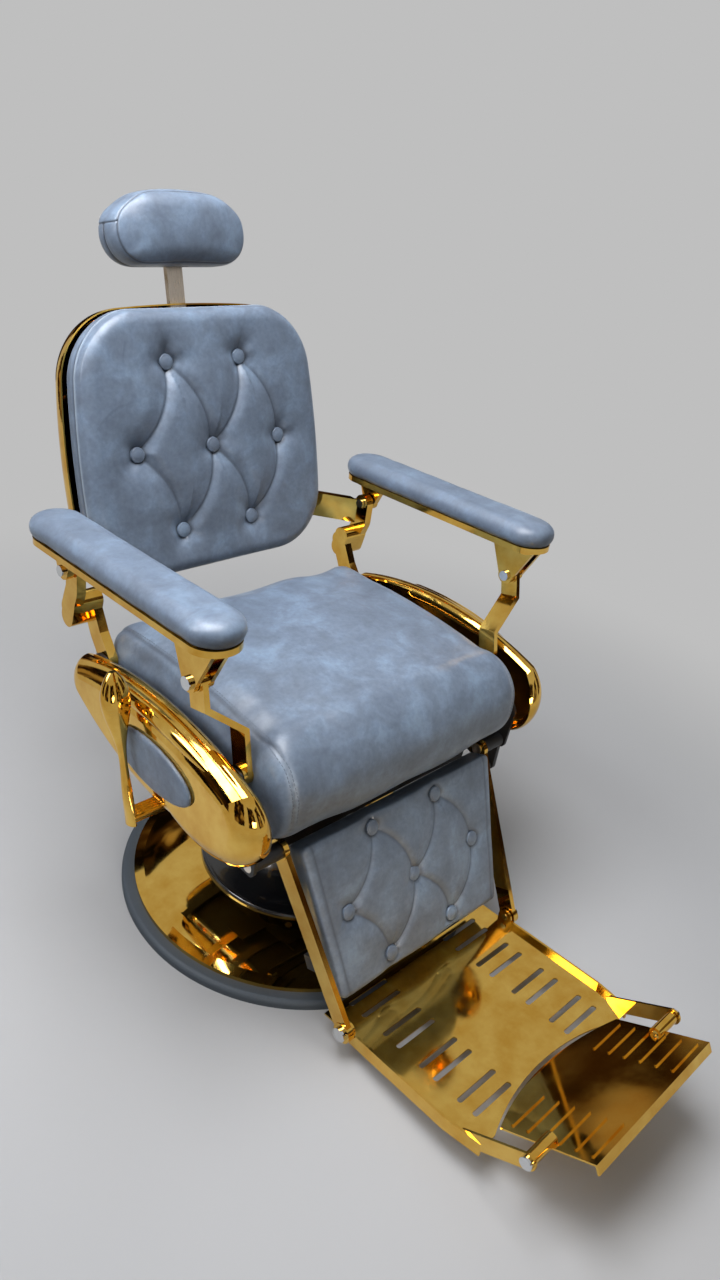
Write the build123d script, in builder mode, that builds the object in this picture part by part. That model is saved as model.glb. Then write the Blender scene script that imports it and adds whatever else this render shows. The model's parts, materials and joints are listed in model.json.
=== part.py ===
from build123d import *
import os
from math import cos, hypot, radians, sin, tan

# Hydraulic barber chair. Millimetres, +Z up, origin on the floor at the axis of the round base.
# The sitter faces -Y, so the sitter's right hand is on the -X side.
# Side profiles are drawn on Plane.YZ, where local x is Y and local y is Z.

os.makedirs("parts", exist_ok=True)

# ---- clearances ----
running_gap = 0.05        # radial, pin or shaft in its bore
open_pivot_gap = 0.3      # radial, the one open pivot of each closed linkage
slide_gap = 0.3           # around the headrest bar in its guide
soft_gap = 0.4            # between upholstery and what moves beside it
side_gap = 1.0            # between faces that pass each other

# ---- base ----
ring_radius = 324.0
ring_width = 34.0
ring_height = 16.0
ring_edge = 8.0
base_plate_thickness = 8.0
cover_rim_radius = 302.0
cover_rim_height = 8.0
cover_fold_radius = 285.0
cover_fold_height = 13.0
cover_rise = 26.0
cover_wall = 2.0
bell_lip_radius = 183.0
bell_lip_height = 9.0
bell_neck_radius = 72.0
bell_neck_height = 205.0
bell_wall = 4.0
bell_waist_width = 18.0
bell_waist_height = 44.0
bell_neck_start = 118.0
flange_bolt_radius = 6.0
flange_bolt_circle = 88.0
flange_bolt_count = 6

# ---- hydraulic lift ----
lift_travel = 150.0
cylinder_bore = 46.0
cylinder_wall = 8.0
cylinder_spare = 10.0
cylinder_flange_radius = 104.0
cylinder_flange_thickness = 12.0
gland_height = 14.0
gland_radius = 62.0
rod_radius = 30.0
piston_bottom = 30.0
piston_height = 25.0
rod_top = 306.0

# ---- swivel head and seat frame ----
head_bottom = 240.0
head_radius = 46.0
head_flange_radius = 92.0
head_flange_thickness = 10.0
head_top = 320.0
mount_plate_size = 230.0
mount_plate_thickness = 10.0
mount_bolt_spacing = 110.0
mount_bolt_radius = 5.0
frame_tube_width = 26.0
frame_tube_height = 22.0
frame_rail_x = 95.0
frame_rear_y = 185.0
frame_front_y = -75.0
seat_board_thickness = 12.0
batten_y = -164.0
batten_thickness = 14.0
batten_bottom = 284.0
batten_end_inset = 47.0
bracket_thickness = 6.0

# ---- seat cushion ----
seat_half_width = 265.0
seat_rear_y = 250.0
seat_front_y = -223.0
seat_top = 502.0
seat_crown = 10.0
seat_lip_bottom = 336.0
seat_lip_rear_y = -185.0

# ---- room beside the cushion for the posts, links and cranks ----
corridor_gap = 5.0
corridor_width = 18.0

# ---- side panels ----
panel_wall = 3.0
panel_rear_y = 240.0
panel_nose_y = -232.0
panel_top_z = 496.0
panel_bottom_z = 316.0
panel_bulge = (0.0, 24.0, 42.0, 52.0)
panel_shrink = (2.0, 0.0, 12.0, 34.0)
panel_deck_drop = (20.0, 0.0, 0.0, 0.0)
inlay_length = 200.0
inlay_height = 82.0
inlay_centre = (-15.0, 408.0)
inlay_proud = 7.0

# ---- recline linkage ----
recline_pivot = (222.0, 441.0)
arm_vector = (40.0, 157.0)
front_pivot_y = -135.0
link_thickness = 9.0
link_width = 34.0
link_jog = (68.0, 118.0)
post_width = 34.0
post_bend = 18.0
post_knee = (276.0, 520.0)
pivot_pin_radius = 8.0
bolt_radius = 5.0
crank_drop = 55.0
crank_thickness = 8.5
crank_width = 20.0
push_link_width = 16.0
push_pin_radius = 5.0

# ---- backrest ----
back_centre = (346.0, 729.0)
back_lean = 15.6
back_half_width = 251.0
back_top = 231.0
back_bottom = -214.0
back_top_radius = 118.0
back_bottom_radius = 70.0
back_crown = 14.0
back_rear = -60.0
board_inset = 28.0
button_spacing = 150.0
button_row_up = 144.0
button_row_down = 139.0
button_radius = 14.0
button_height = 7.0
tuft_radius = 53.0
pleat_width = 6.0
pleat_depth = 4.0
pleat_bow = 16.0
shell_depth = 34.0
shell_wall = 2.5
shell_rim = 5.0
bracket_post_end = (284.0, 577.0)
bracket_shell_end = (372.0, 574.0)
bracket_height = 48.0
bracket_depth = (22.0, 20.0)
bracket_reach = 12.0
standoff_radius = 10.0
standoff_spacing = (300.0, 110.0)
standoff_up = 140.0
guide_wall = 6.0
guide_length = 150.0
guide_down = 90.0
bulge_side_inset = 19.0
bulge_half_height = 68.0
bulge_centre = 97.0
bulge_depth = 40.0

# ---- headrest ----
bar_width = 31.0
bar_thickness = 10.0
bar_offset = -73.0
bar_bottom = -8.0
headrest_along = 354.0
headrest_half_width = 131.0
headrest_height = 118.0
headrest_front = 62.0
headrest_rear = 26.0
headrest_board_thickness = 12.0
headrest_tilt = 15.0
headrest_corner = 40.0
knuckle_radius = 9.0
headrest_pin_radius = 4.0

# ---- arms ----
arm_offset = 44.0
arm_length = 483.0
arm_width = 88.0
arm_pad_thickness = 34.0
arm_centre_y = 83.0
arm_centre_z = 677.0
arm_slope = 3.3
rail_flange_inset = 5.0
rail_flange_depth = 10.0
rail_width = 46.0
rail_depth = 18.0
ear_thickness = 7.0
ear_radius = 15.0
ear_offset = (12.0, 13.0)
ear_half_base = 46.0
lug_gap = 3.0
lug_thickness = 12.0
lug_half_base = 34.0
post_eye_offset = 26.0

# ---- pump lever ----
lever_axis = (0.0, 312.0)
lever_standoff = 26.0
lever_shaft_radius = 8.0
lever_bush_radius = 10.0
bush_length = 42.0
lever_lean = 14.5
lever_length = 234.0
lever_bar_width = 28.0
lever_bar_thickness = 14.0
lever_bar_ribs = 5
pump_head_outer_x = 206.0
pump_head_width = 64.0
pump_head_height = 30.0

# ---- legrest ----
leg_pivot = (-185.0, 311.0)
leg_axle_radius = 10.0
leg_sleeve_wall = 3.5
leg_axle_gap = 5.0
leg_centre = (-272.0, 203.0)
leg_lean = 24.0
leg_top = 136.0
leg_bottom = -134.0
leg_top_half = 220.0
leg_bottom_half = 190.0
leg_corner = 14.0
leg_crown = 8.0
leg_rear = -40.0
leg_button_spacing = 148.0
leg_button_up = 115.0
leg_button_down = 111.0
leg_board_thickness = 8.0
leg_rail_thickness = 9.0
leg_rail_width = 30.0
leg_rail_gap = 2.0
leg_strap_places = (70.0, -70.0)
leg_strap_width = 26.0
leg_strap_thickness = 5.0
foot_hinge = (-350.0, 50.0)
foot_bolt_radius = 6.0
foot_boss_radius = 17.0

# ---- footrest ----
foot_slope = 4.7
foot_side_gap = 8.0
foot_drop = 10.0
foot_behind = 52.0
foot_length = 262.0
foot_sheet = 3.0
foot_wall_up = 9.0
foot_wall_down = 15.0
foot_wall_thickness = 4.0
foot_arc_past_tread = 7.0
foot_arc_rise = 33.0
foot_ear_radius = 14.0
foot_narrow = 8.0
foot_narrow_from = -200.0
slot_length = 85.0
slot_side_inset = 42.0
slot_width = 9.0
slot_pair_pitch = 76.7
slot_pitch = 29.5
slot_first = -38.0
slot_pairs = 4
tread_slope = 32.5
tread_axis = (-679.0, 118.0)
tread_wing_gap = 40.0
tread_front = 82.0
tread_rear = 80.0
tread_drop = 2.0
tread_sheet = 3.0
tread_skirt = 16.0
rib_count = 6
rib_pitch = 27.0
rib_length = 76.0
rib_end_inset = 10.0
rib_width = 5.0
knuckle_overlap = 15.0
rib_height = 2.5
wing_thickness = 4.0
wing_height = 26.0
tread_bolt_radius = 5.0
knuckle_outer = 10.0

# ---- derived places ----
ring_inner = ring_radius - ring_width
cylinder_top = piston_bottom + piston_height + lift_travel + cylinder_spare
cover_base = ring_height
bell_base = cover_base + cover_fold_height + cover_rise
plate_bottom = head_top
frame_bottom = plate_bottom + mount_plate_thickness
frame_top = frame_bottom + frame_tube_height
board_top = frame_top + seat_board_thickness
front_pivot = (front_pivot_y, recline_pivot[1])
rear_arm_pivot = (recline_pivot[0] + arm_vector[0], recline_pivot[1] + arm_vector[1])
front_arm_pivot = (front_pivot[0] + arm_vector[0], front_pivot[1] + arm_vector[1])
arm_vector_length = hypot(*arm_vector)
corridor_inner = seat_half_width + corridor_gap
bracket_inner_x = corridor_inner + corridor_width
corridor_outer = bracket_inner_x - 2 * side_gap
post_thickness = corridor_outer - corridor_inner
crank_inner = corridor_outer - crank_thickness
panel_inner_x = bracket_inner_x + bracket_thickness
panel_face_x = panel_inner_x + panel_bulge[-1]
arm_x = bracket_inner_x + arm_offset
ear_inner_x = arm_x - ear_offset[0]
ear_outer_x = arm_x + ear_offset[1]
post_eye_inner = arm_x - post_eye_offset
lug_inner_x = post_eye_inner + post_thickness + lug_gap
link_foot_x = corridor_inner + side_gap + link_thickness
link_top_x = arm_x + link_thickness
lever_x = panel_face_x + lever_standoff
leg_sleeve_radius = leg_axle_radius + running_gap + leg_sleeve_wall
leg_axle_end_x = leg_top_half + leg_axle_gap
leg_hub_outer = leg_axle_end_x + leg_rail_thickness + leg_rail_gap
foot_half_width = leg_bottom_half + foot_side_gap
wing_x = foot_half_width - foot_narrow
tread_half_width = wing_x - tread_wing_gap
foot_arc_half = tread_half_width + foot_arc_past_tread
knuckle_inner_x = tread_half_width - knuckle_overlap
slot_outer_x = foot_half_width - slot_side_inset
slot_inner_x = slot_outer_x - slot_length
rib_outer_x = tread_half_width - rib_end_inset
rib_inner_x = rib_outer_x - rib_length
bulge_half_width = back_half_width - bulge_side_inset
guide_half_depth = bar_thickness / 2 + 2
board_rear = bar_offset + guide_half_depth

back_plane = Plane(
    origin=(0, back_centre[0], back_centre[1]),
    x_dir=(1, 0, 0),
    z_dir=(0, -cos(radians(back_lean)), sin(radians(back_lean))),
)
leg_plane = Plane(
    origin=(0, leg_centre[0], leg_centre[1]),
    x_dir=(1, 0, 0),
    z_dir=(0, -cos(radians(leg_lean)), sin(radians(leg_lean))),
)
headrest_plane = Plane(
    origin=back_plane.from_local_coords((0, headrest_along, bar_offset)),
    x_dir=(1, 0, 0),
    z_dir=back_plane.z_dir,
)
headrest_pivot = (headrest_plane.origin.Y, headrest_plane.origin.Z)
# local x runs forwards along the pad, local z is up through it
arm_plane = Plane(
    origin=(-arm_x, arm_centre_y, arm_centre_z),
    x_dir=(0, -cos(radians(arm_slope)), sin(radians(arm_slope))),
    z_dir=(0, sin(radians(arm_slope)), cos(radians(arm_slope))),
)
# on both plates local x is +X, local y runs rearwards along the plate, local z is up through it
foot_plane = Plane(
    origin=(0, foot_hinge[0], foot_hinge[1]),
    x_dir=(1, 0, 0),
    z_dir=(0, sin(radians(foot_slope)), cos(radians(foot_slope))),
)
tread_plane = Plane(
    origin=(0, tread_axis[0], tread_axis[1]),
    x_dir=(1, 0, 0),
    z_dir=(0, sin(radians(tread_slope)), cos(radians(tread_slope))),
)


def save(builder, name):
    builder.part.label = name
    export_step(builder.part, f"parts/{name}.step")


def save_pair(builder, name):
    # the piece is drawn on the sitter's right; its twin is the mirror image
    save(builder, f"{name}_right")
    with BuildPart() as twin:
        add(mirror(builder.part, about=Plane.YZ))
    save(twin, f"{name}_left")


def shaft(x_from, x_to, centre, radius):
    # a round bar along X through the side-view point centre
    with BuildPart() as piece:
        with BuildSketch(Plane.YZ.offset(x_from)):
            with Locations(centre):
                Circle(radius)
        extrude(amount=x_to - x_from)
    return piece.part


def band(points, width, x_from, x_to, bend):
    # a flat bar of constant width, round at both ends, that follows points in the side view
    with BuildPart() as piece:
        with BuildSketch(Plane.YZ.offset(x_from)):
            with BuildLine():
                if len(points) > 2:
                    FilletPolyline(*points, radius=bend)
                else:
                    Line(*points)
            trace(line_width=width)
            with Locations(points[0], points[-1]):
                Circle(width / 2)
        extrude(amount=x_to - x_from)
    return piece.part


def tuft_points(spacing, up, down):
    rows = ((up, (-0.5, 0.5)), (0, (-1, 0, 1)), (-down, (-0.5, 0.5)))
    return [(column * spacing, row) for row, columns in rows for column in columns]


def tuft_pleats(spacing, up, down):
    # each upper and lower tuft is joined to its two neighbours in the middle row
    pairs = []
    for column in (-0.5, 0.5):
        for side in (-0.5, 0.5):
            middle = ((column + side) * spacing, 0)
            pairs.append(((column * spacing, up), middle))
            pairs.append((middle, (column * spacing, -down)))
    return pairs


def bowed_middle(start, end, bow):
    length = hypot(end[0] - start[0], end[1] - start[1])
    across = ((end[1] - start[1]) / length, -(end[0] - start[0]) / length)
    return (
        (start[0] + end[0]) / 2 + across[0] * bow,
        (start[1] + end[1]) / 2 + across[1] * bow,
    )


def tuft_tool(plane, crown, spacing, up, down):
    # the sunk tufts and the sewn pleats between them, as the shape they take out of a cushion
    with BuildPart() as tool:
        with BuildSketch(plane.offset(crown - pleat_depth)):
            for start, end in tuft_pleats(spacing, up, down):
                with BuildLine(mode=Mode.PRIVATE) as pleat:
                    ThreePointArc(start, bowed_middle(start, end, pleat_bow), end)
                trace(pleat.line, line_width=pleat_width)
        extrude(amount=2 * pleat_depth)
        for point in tuft_points(spacing, up, down):
            centre = plane.from_local_coords((point[0], point[1], tuft_radius - button_height))
            with Locations(centre):
                Sphere(tuft_radius)
    return tool.part


def make_buttons(plane, spacing, up, down):
    # each button has a domed face and an underside that follows the bottom of its tuft
    with BuildPart() as button:
        Cylinder(button_radius, button_height, align=(Align.CENTER, Align.CENTER, Align.MIN))
        fillet(button.edges().group_by(Axis.Z)[-1], radius=button_height * 0.6)
        with Locations((0, 0, tuft_radius)):
            Sphere(tuft_radius - soft_gap, mode=Mode.INTERSECT)
    with BuildPart() as buttons:
        for point in tuft_points(spacing, up, down):
            centre = plane.from_local_coords((point[0], point[1], -button_height))
            seat = Plane(origin=centre, x_dir=plane.x_dir, z_dir=plane.z_dir)
            with Locations(seat):
                add(button.part)
    return buttons


def save_both(builder, name):
    # the piece and its mirror image as two solids of one node
    with BuildPart() as both:
        add(builder.part)
        add(mirror(builder.part, about=Plane.YZ))
    save(both, name)


# ==== base ====
with BuildPart() as base_plate:
    Cylinder(
        ring_inner, base_plate_thickness,
        align=(Align.CENTER, Align.CENTER, Align.MIN),
    )
    with Locations((0, 0, base_plate_thickness)):
        with PolarLocations(flange_bolt_circle, flange_bolt_count):
            Hole(flange_bolt_radius)
save(base_plate, "base_plate")

with BuildPart() as base_rubber_ring:
    with BuildSketch(Plane.XZ):
        with Locations((ring_inner + ring_width / 2, ring_height / 2)):
            Rectangle(ring_width, ring_height)
    revolve(axis=Axis.Z)
    outer_edges = base_rubber_ring.edges().filter_by(GeomType.CIRCLE).sort_by(SortBy.RADIUS)[-2:]
    fillet(outer_edges.sort_by(Axis.Z)[-1:], radius=ring_edge)
save(base_rubber_ring, "base_rubber_ring")

with BuildPart() as base_cover:
    cover_inner = bell_lip_radius - 40
    cover_flat = bell_lip_radius + 2
    arc_middle = (cover_fold_radius + cover_flat) / 2
    with BuildSketch(Plane.XZ):
        with BuildLine():
            Polyline(
                (cover_fold_radius - cover_wall, cover_base + cover_fold_height - cover_wall),
                (cover_rim_radius - cover_wall, cover_base + cover_rim_height - cover_wall),
                (cover_rim_radius - cover_wall, cover_base),
                (cover_rim_radius, cover_base),
                (cover_rim_radius, cover_base + cover_rim_height),
                (cover_fold_radius, cover_base + cover_fold_height),
            )
            ThreePointArc(
                (cover_fold_radius, cover_base + cover_fold_height),
                (arc_middle, bell_base - cover_rise * 0.38),
                (cover_flat, bell_base),
            )
            Polyline(
                (cover_flat, bell_base),
                (cover_inner, bell_base),
                (cover_inner, bell_base - cover_wall),
                (cover_flat, bell_base - cover_wall),
            )
            ThreePointArc(
                (cover_flat, bell_base - cover_wall),
                (arc_middle, bell_base - cover_rise * 0.38 - cover_wall),
                (cover_fold_radius - cover_wall, cover_base + cover_fold_height - cover_wall),
            )
        make_face()
    revolve(axis=Axis.Z)
save(base_cover, "base_cover")

with BuildPart() as pump_bell:
    bell_shoulder = bell_lip_radius - 16
    bell_waist = (bell_neck_radius + bell_waist_width, bell_base + bell_waist_height)
    bell_neck_base = bell_base + bell_neck_start
    with BuildSketch(Plane.XZ):
        with BuildLine():
            Line((bell_lip_radius, bell_base), (bell_lip_radius, bell_base + bell_lip_height / 2))
            ThreePointArc(
                (bell_lip_radius, bell_base + bell_lip_height / 2),
                (bell_lip_radius - bell_lip_height / 2, bell_base + bell_lip_height),
                (bell_lip_radius - bell_lip_height, bell_base + bell_lip_height / 2),
            )
            Line(
                (bell_lip_radius - bell_lip_height, bell_base + bell_lip_height / 2),
                (bell_shoulder, bell_base + bell_lip_height / 2),
            )
            ThreePointArc(
                (bell_shoulder, bell_base + bell_lip_height / 2),
                bell_waist,
                (bell_neck_radius, bell_neck_base),
            )
            Polyline(
                (bell_neck_radius, bell_neck_base),
                (bell_neck_radius, bell_neck_height),
                (bell_neck_radius - bell_wall, bell_neck_height),
                (bell_neck_radius - bell_wall, bell_neck_base - bell_wall / 2),
            )
            ThreePointArc(
                (bell_neck_radius - bell_wall, bell_neck_base - bell_wall / 2),
                (bell_waist[0] - bell_wall, bell_waist[1] - bell_wall),
                (bell_shoulder - bell_wall, bell_base),
            )
            Line((bell_shoulder - bell_wall, bell_base), (bell_lip_radius, bell_base))
        make_face()
    revolve(axis=Axis.Z)
save(pump_bell, "pump_bell")

with BuildPart() as pump_cylinder:
    cylinder_radius = cylinder_bore + cylinder_wall
    with BuildSketch(Plane.XY.offset(base_plate_thickness)):
        Circle(cylinder_flange_radius)
    extrude(amount=cylinder_flange_thickness)
    with BuildSketch(Plane.XY.offset(base_plate_thickness)):
        Circle(cylinder_radius)
    extrude(amount=cylinder_top - base_plate_thickness)
    with BuildSketch(Plane.XY.offset(base_plate_thickness + cylinder_flange_thickness)):
        Circle(cylinder_bore)
    extrude(amount=cylinder_top, mode=Mode.SUBTRACT)
    with Locations((0, 0, base_plate_thickness + cylinder_flange_thickness)):
        with PolarLocations(flange_bolt_circle, flange_bolt_count):
            Hole(flange_bolt_radius)
save(pump_cylinder, "pump_cylinder")

with BuildPart() as flange_bolts:
    bolt_head_z = base_plate_thickness + cylinder_flange_thickness
    with BuildSketch(Plane.XY.offset(1)):
        with PolarLocations(flange_bolt_circle, flange_bolt_count):
            Circle(flange_bolt_radius - running_gap)
    extrude(amount=bolt_head_z - 1)
    with BuildSketch(Plane.XY.offset(bolt_head_z)):
        with PolarLocations(flange_bolt_circle, flange_bolt_count):
            RegularPolygon(flange_bolt_radius * 1.7, 6)
    extrude(amount=flange_bolt_radius)
save(flange_bolts, "flange_bolts")

with BuildPart() as cylinder_gland:
    with BuildSketch(Plane.XY.offset(cylinder_top)):
        Circle(gland_radius)
        Circle(rod_radius + running_gap, mode=Mode.SUBTRACT)
    extrude(amount=gland_height)
    chamfer(cylinder_gland.edges().group_by(Axis.Z)[-1].sort_by(SortBy.RADIUS)[-1:], length=3)
save(cylinder_gland, "cylinder_gland")

# ==== lift: moves up with the piston ====
with BuildPart() as piston_seal:
    with BuildSketch(Plane.XY.offset(piston_bottom)):
        Circle(cylinder_bore - running_gap)
    extrude(amount=piston_height)
    for groove in (0.3, 0.7):
        with BuildSketch(Plane.XY.offset(piston_bottom + piston_height * groove - 1.5)):
            Circle(cylinder_bore)
            Circle(cylinder_bore - 3, mode=Mode.SUBTRACT)
        extrude(amount=3, mode=Mode.SUBTRACT)
save(piston_seal, "piston_seal")

with BuildPart() as piston_rod:
    with BuildSketch(Plane.XY.offset(piston_bottom + piston_height)):
        Circle(rod_radius)
    extrude(amount=rod_top - piston_bottom - piston_height)
    chamfer(piston_rod.edges().group_by(Axis.Z)[-1], length=2)
save(piston_rod, "piston_rod")

# ==== seat group: turns on the piston rod ====
with BuildPart() as swivel_head:
    with BuildSketch(Plane.XY.offset(head_bottom)):
        Circle(head_radius)
    extrude(amount=head_top - head_bottom)
    with BuildSketch(Plane.XY.offset(head_top - head_flange_thickness)):
        Circle(head_flange_radius)
    extrude(amount=head_flange_thickness)
    flange_corner = swivel_head.edges().filter_by(GeomType.CIRCLE).filter_by(
        lambda edge: abs(edge.radius - head_radius) < 1e-3
        and abs(edge.center().Z - head_top + head_flange_thickness) < 1e-3
    )
    fillet(flange_corner, radius=14)
    with BuildSketch(Plane.XY.offset(head_bottom)):
        Circle(rod_radius + running_gap)
    extrude(amount=rod_top + side_gap - head_bottom, mode=Mode.SUBTRACT)
    with BuildSketch(Plane.XY.offset(head_top)):
        with GridLocations(mount_bolt_spacing, mount_bolt_spacing, 2, 2):
            Circle(mount_bolt_radius + running_gap)
    extrude(amount=-head_flange_thickness, mode=Mode.SUBTRACT)
save(swivel_head, "swivel_head")

with BuildPart() as mounting_plate:
    with BuildSketch(Plane.XY.offset(plate_bottom)):
        RectangleRounded(mount_plate_size, mount_plate_size, 18)
        with GridLocations(mount_bolt_spacing, mount_bolt_spacing, 2, 2):
            Circle(mount_bolt_radius + running_gap, mode=Mode.SUBTRACT)
    extrude(amount=mount_plate_thickness)
save(mounting_plate, "mounting_plate")

with BuildPart() as frame_bolts:
    frame_bolt_head_z = head_top - head_flange_thickness
    with BuildSketch(Plane.XY.offset(frame_bolt_head_z)):
        with GridLocations(mount_bolt_spacing, mount_bolt_spacing, 2, 2):
            Circle(mount_bolt_radius)
    extrude(amount=head_flange_thickness + mount_plate_thickness)
    with BuildSketch(Plane.XY.offset(frame_bolt_head_z)):
        with GridLocations(mount_bolt_spacing, mount_bolt_spacing, 2, 2):
            RegularPolygon(mount_bolt_radius * 1.8, 6)
    extrude(amount=-mount_bolt_radius * 1.2)
save(frame_bolts, "frame_bolts")

with BuildPart() as seat_frame:
    frame_mid_z = frame_bottom + frame_tube_height / 2
    with Locations(
        (0, frame_rear_y, frame_mid_z),
        (0, frame_front_y, frame_mid_z),
    ):
        Box(2 * bracket_inner_x, frame_tube_width, frame_tube_height)
    rail_rear = seat_rear_y - 20
    rail_length = rail_rear - (batten_y + batten_thickness)
    with Locations(
        (-frame_rail_x, rail_rear - rail_length / 2, frame_mid_z),
        (frame_rail_x, rail_rear - rail_length / 2, frame_mid_z),
    ):
        Box(frame_tube_width, rail_length, frame_tube_height)
save(seat_frame, "seat_frame")

with BuildPart() as seat_board:
    board_front = seat_front_y + 42
    with BuildSketch(Plane.XY.offset(frame_top)):
        with Locations((0, (seat_rear_y - 14 + board_front) / 2)):
            RectangleRounded(2 * seat_half_width - 24, seat_rear_y - 14 - board_front, 20)
    extrude(amount=seat_board_thickness)
    # batten under the front edge, behind the legrest
    with Locations((0, batten_y + batten_thickness / 2, (frame_top + batten_bottom) / 2)):
        Box(2 * (seat_half_width - batten_end_inset), batten_thickness, frame_top - batten_bottom)
save(seat_board, "seat_board")


def seat_section(rise, draw):
    # one slice of the seat cushion; rise lifts the top, draw pulls the whole slice in
    top = seat_top + rise - draw
    front = seat_front_y + draw
    rear = seat_rear_y - draw
    lip = seat_lip_bottom + draw
    under = board_top + soft_gap
    lip_rear = seat_lip_rear_y
    lip_front = lip_rear - 3
    with BuildSketch() as section:
        with BuildLine():
            Line((rear, under), (lip_rear, under))
            Line((lip_rear, under), (lip_rear, lip))
            Line((lip_rear, lip), (lip_front, lip))
            ThreePointArc(
                (lip_front, lip),
                (front + (lip_front - front) / 3, lip + 22),
                (front, lip + 49),
            )
            Line((front, lip + 49), (front, top - 76))
            ThreePointArc((front, top - 76), (front + 23, top - 30), (front + 84, top - 10))
            ThreePointArc((front + 84, top - 10), (front + 230, top + 2), (rear - 34, top - 12))
            ThreePointArc((rear - 34, top - 12), (rear - 8, top - 26), (rear, top - 50))
            Line((rear, top - 50), (rear, under))
        make_face()
    return section.sketch


with BuildPart() as seat_cushion:
    seat_slices = (
        (-seat_half_width, -10, 12),
        (-seat_half_width + 8, -3, 3),
        (-seat_half_width + 40, seat_crown * 0.4, 0),
        (-seat_half_width * 0.5, seat_crown * 0.9, 0),
        (0, seat_crown, 0),
        (seat_half_width * 0.5, seat_crown * 0.9, 0),
        (seat_half_width - 40, seat_crown * 0.4, 0),
        (seat_half_width - 8, -3, 3),
        (seat_half_width, -10, 12),
    )
    for slice_x, rise, draw in seat_slices:
        with BuildSketch(Plane.YZ.offset(slice_x)):
            add(seat_section(rise, draw))
    loft()
save(seat_cushion, "seat_cushion")


def panel_outline(shrink, deck_drop):
    # boat-shaped outline of a side panel in the side view, drawn in evenly by shrink,
    # its upper edge lowered by deck_drop so that the deck slopes down towards the seat
    mid_y = (panel_rear_y + panel_nose_y) / 2
    mid_z = (panel_top_z + panel_bottom_z) / 2
    scale_y = 1 - 2 * shrink / (panel_rear_y - panel_nose_y)
    scale_z = 1 - 2 * shrink / (panel_top_z - panel_bottom_z)

    def at(y, z):
        return (mid_y + (y - mid_y) * scale_y, mid_z + (z - mid_z) * scale_z)

    nose_top = at(panel_nose_y + 32, panel_top_z - 34 - deck_drop)
    nose_bottom = at(panel_nose_y + 32, panel_bottom_z + 18)
    rear_top = at(panel_rear_y - 12, panel_top_z - 38 - deck_drop * 0.4)
    rear_bottom = at(panel_rear_y - 10, panel_bottom_z + 98)
    keel = at(panel_nose_y + 166, panel_bottom_z + 11)
    with BuildSketch() as outline:
        with BuildLine():
            ThreePointArc(nose_top, at(panel_rear_y - 230, panel_top_z - deck_drop), rear_top)
            ThreePointArc(rear_top, at(panel_rear_y, panel_bottom_z + 118), rear_bottom)
            ThreePointArc(rear_bottom, at(panel_rear_y - 130, panel_bottom_z + 34), keel)
            ThreePointArc(keel, at(panel_nose_y + 92, panel_bottom_z), nose_bottom)
            ThreePointArc(nose_bottom, at(panel_nose_y, panel_bottom_z + 79), nose_top)
        make_face()
    return outline.sketch


def panel_hull(wall):
    # the full hull of a panel, or with a wall the hollow inside it, open towards the seat
    with BuildPart() as hull:
        for depth, shrink, deck_drop in zip(panel_bulge, panel_shrink, panel_deck_drop):
            with BuildSketch(Plane.YZ.offset(-panel_inner_x - depth + wall)):
                add(panel_outline(shrink + wall, deck_drop))
        loft()
    return hull.part


with BuildPart() as side_panel:
    add(panel_hull(0))
    add(panel_hull(panel_wall), mode=Mode.SUBTRACT)
save_pair(side_panel, "side_panel")

with BuildPart() as side_inlay:
    with BuildSketch(Plane.YZ.offset(-panel_face_x)):
        with Locations(inlay_centre):
            Ellipse(inlay_length / 2, inlay_height / 2)
    extrude(amount=-inlay_proud)
    fillet(side_inlay.edges().group_by(Axis.X)[0], radius=inlay_proud * 0.8)
save_pair(side_inlay, "side_inlay")

with BuildPart() as side_bracket:
    with BuildSketch(Plane.YZ.offset(-panel_inner_x)):
        with BuildLine():
            Polyline(
                (leg_pivot[0] - 15, leg_pivot[1] - 14),
                (leg_pivot[0] + 15, leg_pivot[1] - 14),
                (leg_pivot[0] + 40, frame_bottom - 1),
                (frame_rear_y + 18, frame_bottom - 1),
                (recline_pivot[0] + 14, recline_pivot[1] - 40),
                (recline_pivot[0] + 14, recline_pivot[1] + 12),
                (recline_pivot[0] - 15, recline_pivot[1] + 12),
                (recline_pivot[0] - 32, recline_pivot[1] - 24),
                (front_pivot[0] + 32, front_pivot[1] - 26),
                (front_pivot[0] + 15, front_pivot[1] + 12),
                (front_pivot[0] - 13, front_pivot[1] + 12),
                (leg_pivot[0] - 20, leg_pivot[1] + 70),
                close=True,
            )
        make_face()
        fillet(vertices(), radius=10)
        with Locations(recline_pivot, front_pivot):
            Circle(pivot_pin_radius, mode=Mode.SUBTRACT)
        with Locations(leg_pivot):
            Circle(leg_axle_radius, mode=Mode.SUBTRACT)
    extrude(amount=bracket_thickness)
save_both(side_bracket, "side_bracket")

with BuildPart() as pivot_pins:
    # shoulder pins that carry the posts and the front links
    for centre in (recline_pivot, front_pivot):
        add(shaft(-panel_inner_x, -corridor_inner + side_gap, centre, pivot_pin_radius))
        add(shaft(-corridor_inner + side_gap, -corridor_inner + 3, centre, pivot_pin_radius + 3))
save_both(pivot_pins, "pivot_pins")

with BuildPart() as leg_axle:
    # two stub axles, one in each side bracket
    add(shaft(-panel_inner_x, -leg_axle_end_x, leg_pivot, leg_axle_radius))
    add(shaft(leg_axle_end_x, panel_inner_x, leg_pivot, leg_axle_radius))
save(leg_axle, "leg_axle")

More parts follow.
